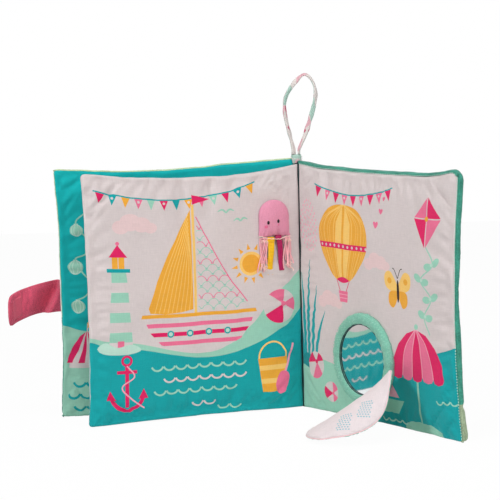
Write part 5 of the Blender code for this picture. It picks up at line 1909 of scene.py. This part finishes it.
def tabPlace(share, up, depth):
    make = tabMake
    front = panels["front"]
    root = np.array(joints["closure_tab_fold"]["pos_m"]) * (1, 1, 0)
    start = math.degrees(math.atan2(front.along[1], front.along[0])) + make["startTurn"]
    swing = make["endTurn"] - make["startTurn"]
    steps = 48
    turns = np.radians(start + swing * ((np.arange(steps) + 0.5) / steps) ** 2)
    strides = np.column_stack([np.cos(turns), np.sin(turns), np.zeros(steps)]) * make["length"] / steps
    spot = root + alongSteps(strides, share)
    width = make["rootWidth"] + (make["tipWidth"] - make["rootWidth"]) * share
    tip = np.maximum(0, share - 0.86) / 0.14
    width = width * np.sqrt(np.maximum(1 - 0.55 * tip**2.4, 0.05))
    high = make["height"] + (up - 0.5) * width - make["droop"] * share**1.5
    heading = np.radians(start + swing * share**2 + 90)
    facing = np.stack([np.cos(heading), np.sin(heading), np.zeros_like(heading)], axis=-1)
    (x0, y0), (x1, y1) = make["fold"]
    run = math.hypot(x1 - x0, y1 - y0)
    off = ((share - x0) * (y1 - y0) - (up - y0) * (x1 - x0)) / run
    reach = np.where(off < 0, 2.4, 1.0) * make["foldWide"]
    clear = np.clip(share / 0.10, 0, 1)
    valley = -make["foldDeep"] * np.exp(-((off / reach) ** 2)) * clear
    lip = 0.0022 * np.exp(-(((off - 2.1 * make["foldWide"]) / make["foldWide"]) ** 2)) * clear
    points = spot + (depth + valley + lip)[..., None] * facing
    points[..., 2] = high
    return points


def tabHalf(share, up):
    make = tabMake
    fullness = make["half"] * (0.30 + 0.70 * np.maximum(bow(up), 0) ** 0.4)
    fullness = fullness * (0.25 + 0.75 * rounded((1 - share) * make["length"], 0.004))
    return 0.0005 + (fullness - 0.0005) * np.minimum(1, share / 0.12)


def makeTab():
    bend = 0.86 + 0.14 * np.sin(np.linspace(0.08, 1, 14) * math.pi / 2)
    shares = np.concatenate([np.linspace(0, 0.86, 54), bend])
    ups = (1 - np.cos(np.linspace(0, math.pi, 30))) / 2
    share, up = np.meshgrid(shares, ups, indexing="ij")
    wave = cloudField(81, share, up, 9, 5) * 0.00035 + cloudField(82, share, up, 60, 34) * 0.00007
    half = np.where(rimOf(share), 0, tabHalf(share, up) + wave * np.minimum(1, share * 6))
    cloth = np.stack([share * tabMake["length"], up * tabMake["rootWidth"]], axis=-1)
    tab = closedPad("closureTab", tabPlace(share, up, -half), tabPlace(share, up, half), pinkVelour, cloth)
    settle(tab, "closure_tab", "pink_velour", "closure_tab_front", "closure_tab_back", fill=0.4)
    seam, ends, tip = np.linspace(0.06, 0.955, 60), np.linspace(0.11, 0.89, 20), 0.955
    lines = [(seam, np.full(60, side)) for side in (0.11, 0.89)] + [(np.full(20, tip), ends)]
    rows = [tabPlace(s, u, tabHalf(s, u) + 0.0001) for s, u in lines]
    stitches("tabStitches", rows, "closure_tab", pinkThread, 0.0024, 0.0016, 0.0003, "pink_velour")


def makeHooks():
    # the hook patch near the tab's tip, on the reader's side
    s, u = np.meshgrid(np.linspace(0.68, 0.94, 22), np.linspace(0.16, 0.84, 22), indexing="ij")
    edge = np.minimum(np.minimum(s - 0.68, 0.94 - s) * 48, np.minimum(u - 0.16, 0.84 - u) * 20) * mm
    tufts = cloudField(83, s * 3, u, 30, 30) * 0.00005
    lift = tabHalf(s, u) + 0.0001 + 0.0005 * rounded(edge, 0.0009) + tufts
    hooks = gridShell("hookPatch", tabPlace(s, u, lift), 0.0005, -panels["front"].along, hookTape)
    settle(hooks, "closure_tab", "hook_tape", "closure_tab_hooks")


def patchGround(a, b):
    # how far the back cover's plush stands out where the patch lies on it
    make = plushMake["back"]
    return make["rim"] + (make["rise"] - make["rim"]) * crown(*panels["back"].shares(a, b))


def makePatch():
    back = panels["back"]
    box = nodePoints("closure_loop_patch") - back.root
    x, z = box @ back.along, box[:, 2]
    a, b = np.meshgrid(np.linspace(x.min(), x.max(), 34), np.linspace(z.min(), z.max(), 28))
    edge = np.minimum(np.minimum(a - x.min(), x.max() - a), np.minimum(b - z.min(), z.max() - b))
    across, up = back.shares(a, b)
    tufts = cloudField(84, across * 4, up * 4, 60, 60) * 0.00008
    lift = patchGround(a, b) + 0.0004 + 0.0010 * rounded(edge, 0.0008) + tufts
    patch = gridShell("loopPatch", back.place(a, b, -lift), 0.0008, -back.inward, loopTape)
    settle(patch, "back_cover", "loop_tape", "closure_loop_patch")
    inset = 0.0018
    x0, x1, z0, z1 = x.min() + inset, x.max() - inset, z.min() + inset, z.max() - inset
    corners = [(x0, z0), (x1, z0), (x1, z1), (x0, z1)]
    rows = []
    for start, end in zip(corners, corners[1:] + corners[:1]):
        a, b = np.linspace(start, end, 20).T
        rows.append(back.place(a, b, -patchGround(a, b) - 0.0015))
    stitches("patchStitches", rows, "back_cover", pinkThread, 0.0024, 0.0017, 0.0004, "loop_tape")


makeTab()
makeHooks()
makePatch()
print("tab and patch made")


# spine: a plush roll outside, a lining inside, and the gathered knot that holds the loop
def makeSpine():
    turnAway, outWay = direction(-54.5), direction(35.5)
    shares = np.linspace(0, 1, 110)
    full = 1 + 0.02 * np.sin(shares * 90) + 0.015 * np.sin(shares * 53 + 1)
    full = full * np.minimum(1, 0.55 + 40 * np.minimum(shares, 1 - shares))
    for name, node, finish, slotName, extra in (
        ("spinePlush", "spine_plush", mintPlush, "mint_plush", 0.0006),
        ("spineLining", "spine_lining", gutterShadeLining, "teal_print", 0.0),
    # the lining's dark colour is painted shade for the gutter
    ):
        points = nodePoints(node)
        x, y, z = points @ turnAway, points @ outWay, points[:, 2]
        middle = turnAway * (x.min() + x.max()) / 2 + outWay * (y.min() + y.max()) / 2
        path = middle + np.linspace(z.min() + 0.0002, z.max(), 110)[:, None] * skyward
        wide, thick = [(way.max() - way.min() + extra) * full for way in (x, y)]
        roll = addTube(name, path, wide, finish, thick, tapeTurns(path, turnAway), 20)
        settle(roll, "spine", slotName, node)


makeSpine()
knotMake = {"wide": 0.0083, "thick": 0.0044, "low": -0.0014, "short": 0.00006, "strands": 10, "seed": 91}


def makeKnot(make):
    points = nodePoints("loop_tack")
    low, high = points.min(0), points.max(0)
    middle = (low + high) / 2
    # its top is round about the line that the loop bends over, and reaches the loop's two ends
    pivot = loopMake["hinge"][2]
    reach = loopMake["start"] - make["short"]
    heights = np.linspace(low[2] + make["low"], pivot + reach, 34)
    shares = np.linspace(0, 1, 34)
    wide = make["wide"] * (0.60 + 0.40 * np.sin(shares * 1.7 + 0.1)) * (1 + 0.05 * np.sin(shares * 19))
    thick = make["thick"] * (0.80 + 0.20 * np.sin(shares * 2.6 + 0.2)) * (1 + 0.05 * np.sin(shares * 23))
    rise = np.clip(heights - pivot, 0, reach)
    thick = np.minimum(thick, 2 * np.sqrt(np.maximum(reach**2 - rise**2, 1e-8)))
    sway = 0.0004 * (1 - shares) ** 2 * np.sin(heights * 900)
    path = np.column_stack([middle[0] + sway, np.full(34, middle[1]), heights])
    knot = addTube("loopKnot", path, wide, loopCotton, thick, tapeTurns(path, np.array((1.0, 0, 0))), 26)
    for vertex in knot.data.vertices:
        angle = math.atan2(vertex.co.y - middle[1], vertex.co.x - middle[0])
        pleat = 1 + 0.06 * math.sin(angle * 9 + vertex.co.z * 700)
        vertex.co.x = middle[0] + (vertex.co.x - middle[0]) * pleat
        vertex.co.y = middle[1] + (vertex.co.y - middle[1]) * pleat
    settle(knot, "spine", "loop_cotton", "loop_tack")
    rng = np.random.default_rng(make["seed"])
    paths = []
    a = np.linspace(0, 2 * math.pi, 40)
    for turn in range(3):
        x, y = middle[0] + np.cos(a) * 0.0037, middle[1] + np.sin(a) * 0.0023
        paths.append(np.column_stack([x, y, low[2] + 0.0008 + turn * 0.0006 + 0.0002 * np.sin(a + turn)]))
    s = np.linspace(0, 1, 8)[:, None]
    for _ in range(make["strands"]):
        # frayed ends of the cut cloth
        ranges = ((0.0026, 0.0036), (-0.0016, 0.0016), (0.0002, 0.0028))
        spot = [rng.uniform(*ends) for ends in ranges]
        way = np.array((rng.uniform(0.4, 1.0), rng.uniform(-0.7, 0.5), rng.uniform(-0.5, 0.9)))
        reach = rng.uniform(0.0012, 0.0030)
        paths.append(np.array((*middle[:2], low[2])) + spot + way * reach * s - skyward * reach * 0.4 * s**2)
    strands("loopThreads", paths, "spine", whiteThread, 0.00030, "loop_cotton")


makeKnot(knotMake)
print("spine and knot made")


# sewing along the back page's top and fore edge
def makeSewing():
    back = panels["back"]
    depth = sheetMake["backPage"]["seamDepth"]
    root, fore, foot, top = sheetMake["backPage"]["inset"]
    shares, ups = np.linspace(0.01, 0.985, 120), np.linspace(0.012, 0.988, 120)
    ends = np.ones(120)
    above = back.outline(shares, ends, (root, fore, foot, top - 0.0004))
    beside = back.outline(ends, ups, (root, fore - 0.0006, foot, top))
    rows = [back.place(*above, depth + 0.0006), back.place(*beside, depth + 0.0009)]
    stitches("edgeStitches", rows, "back_cover", seamThread, 0.0021, 0.0012, 0.0007, "mint_plush")


makeSewing()
print("sewing made")


# stage and light
stageMake = {
    "floor": 3.0, "world": 0.27, "white": 0.966,
    "lamps": [
        ((-1.05, -0.75, 0.85), 0.24, 7.2), ((0.75, -1.20, 0.75), 0.40, 7.2), ((-0.1, -0.5, 1.4), 0.6, 7.0),
    ],
}


def lightShare(tree):
    # 1 where a ray comes from the camera or off a shiny or clear surface, 0 for the light that falls
    rays = put(tree, "ShaderNodeLightPath").outputs
    seen = maths(tree, "MAXIMUM", rays["Is Camera Ray"], rays["Is Glossy Ray"])
    return maths(tree, "MAXIMUM", seen, rays["Is Transmission Ray"])


def makeFloor(make):
    half = make["floor"] / 2
    mesh = bpy.data.meshes.new("floor")
    corners = [(-half, -half, 0), (half, -half, 0), (half, half, 0), (-half, half, 0)]
    mesh.from_pydata(corners, [], [(0, 1, 2, 3)])
    finish = bpy.data.materials.new("paleFloor")
    finish.use_nodes = True
    tree = finish.node_tree
    shader = tree.nodes["Principled BSDF"]
    wire(tree, shader, {"Base Color": (0.9, 0.9, 0.9, 1), "Roughness": 0.9})
    glow = put(tree, "ShaderNodeEmission", {"Color": (1, 1, 1, 1), "Strength": 1.0})
    share = maths(tree, "MULTIPLY", lightShare(tree), make["white"])
    mixed = put(tree, "ShaderNodeMixShader", {0: share, 1: shader.outputs[0], 2: glow.outputs[0]})
    wire(tree, tree.nodes["Material Output"], {"Surface": mixed.outputs[0]})
    mesh.materials.append(finish)
    linked("floor", mesh)


def makeWorld(make):
    world = bpy.data.worlds.new("paleWorld")
    bpy.context.scene.world = world
    world.use_nodes = True
    tree = world.node_tree
    ambient = wire(tree, tree.nodes["Background"], {"Color": (1, 1, 1, 1), "Strength": make["world"]})
    white = put(tree, "ShaderNodeBackground", {"Color": (1, 1, 1, 1), "Strength": 1.0})
    mixed = {0: lightShare(tree), 1: ambient.outputs[0], 2: white.outputs[0]}
    mixed = put(tree, "ShaderNodeMixShader", mixed)
    wire(tree, tree.nodes["World Output"], {"Surface": mixed.outputs[0]})


def makeLamps(make):
    for number, (place, size, power) in enumerate(make["lamps"]):
        data = bpy.data.lights.new("softLamp" + str(number), "AREA")
        data.shape, data.size, data.energy = "DISK", size, power
        lamp = linked("softLamp" + str(number), data)
        lamp.location = place
        lamp.rotation_mode = "QUATERNION"
        lamp.rotation_quaternion = (Vector((0, 0, 0.1)) - Vector(place)).to_track_quat("-Z", "Y")


makeFloor(stageMake)
makeWorld(stageMake)
makeLamps(stageMake)
bpy.context.scene.view_settings.view_transform = "Standard"
print("stage made")
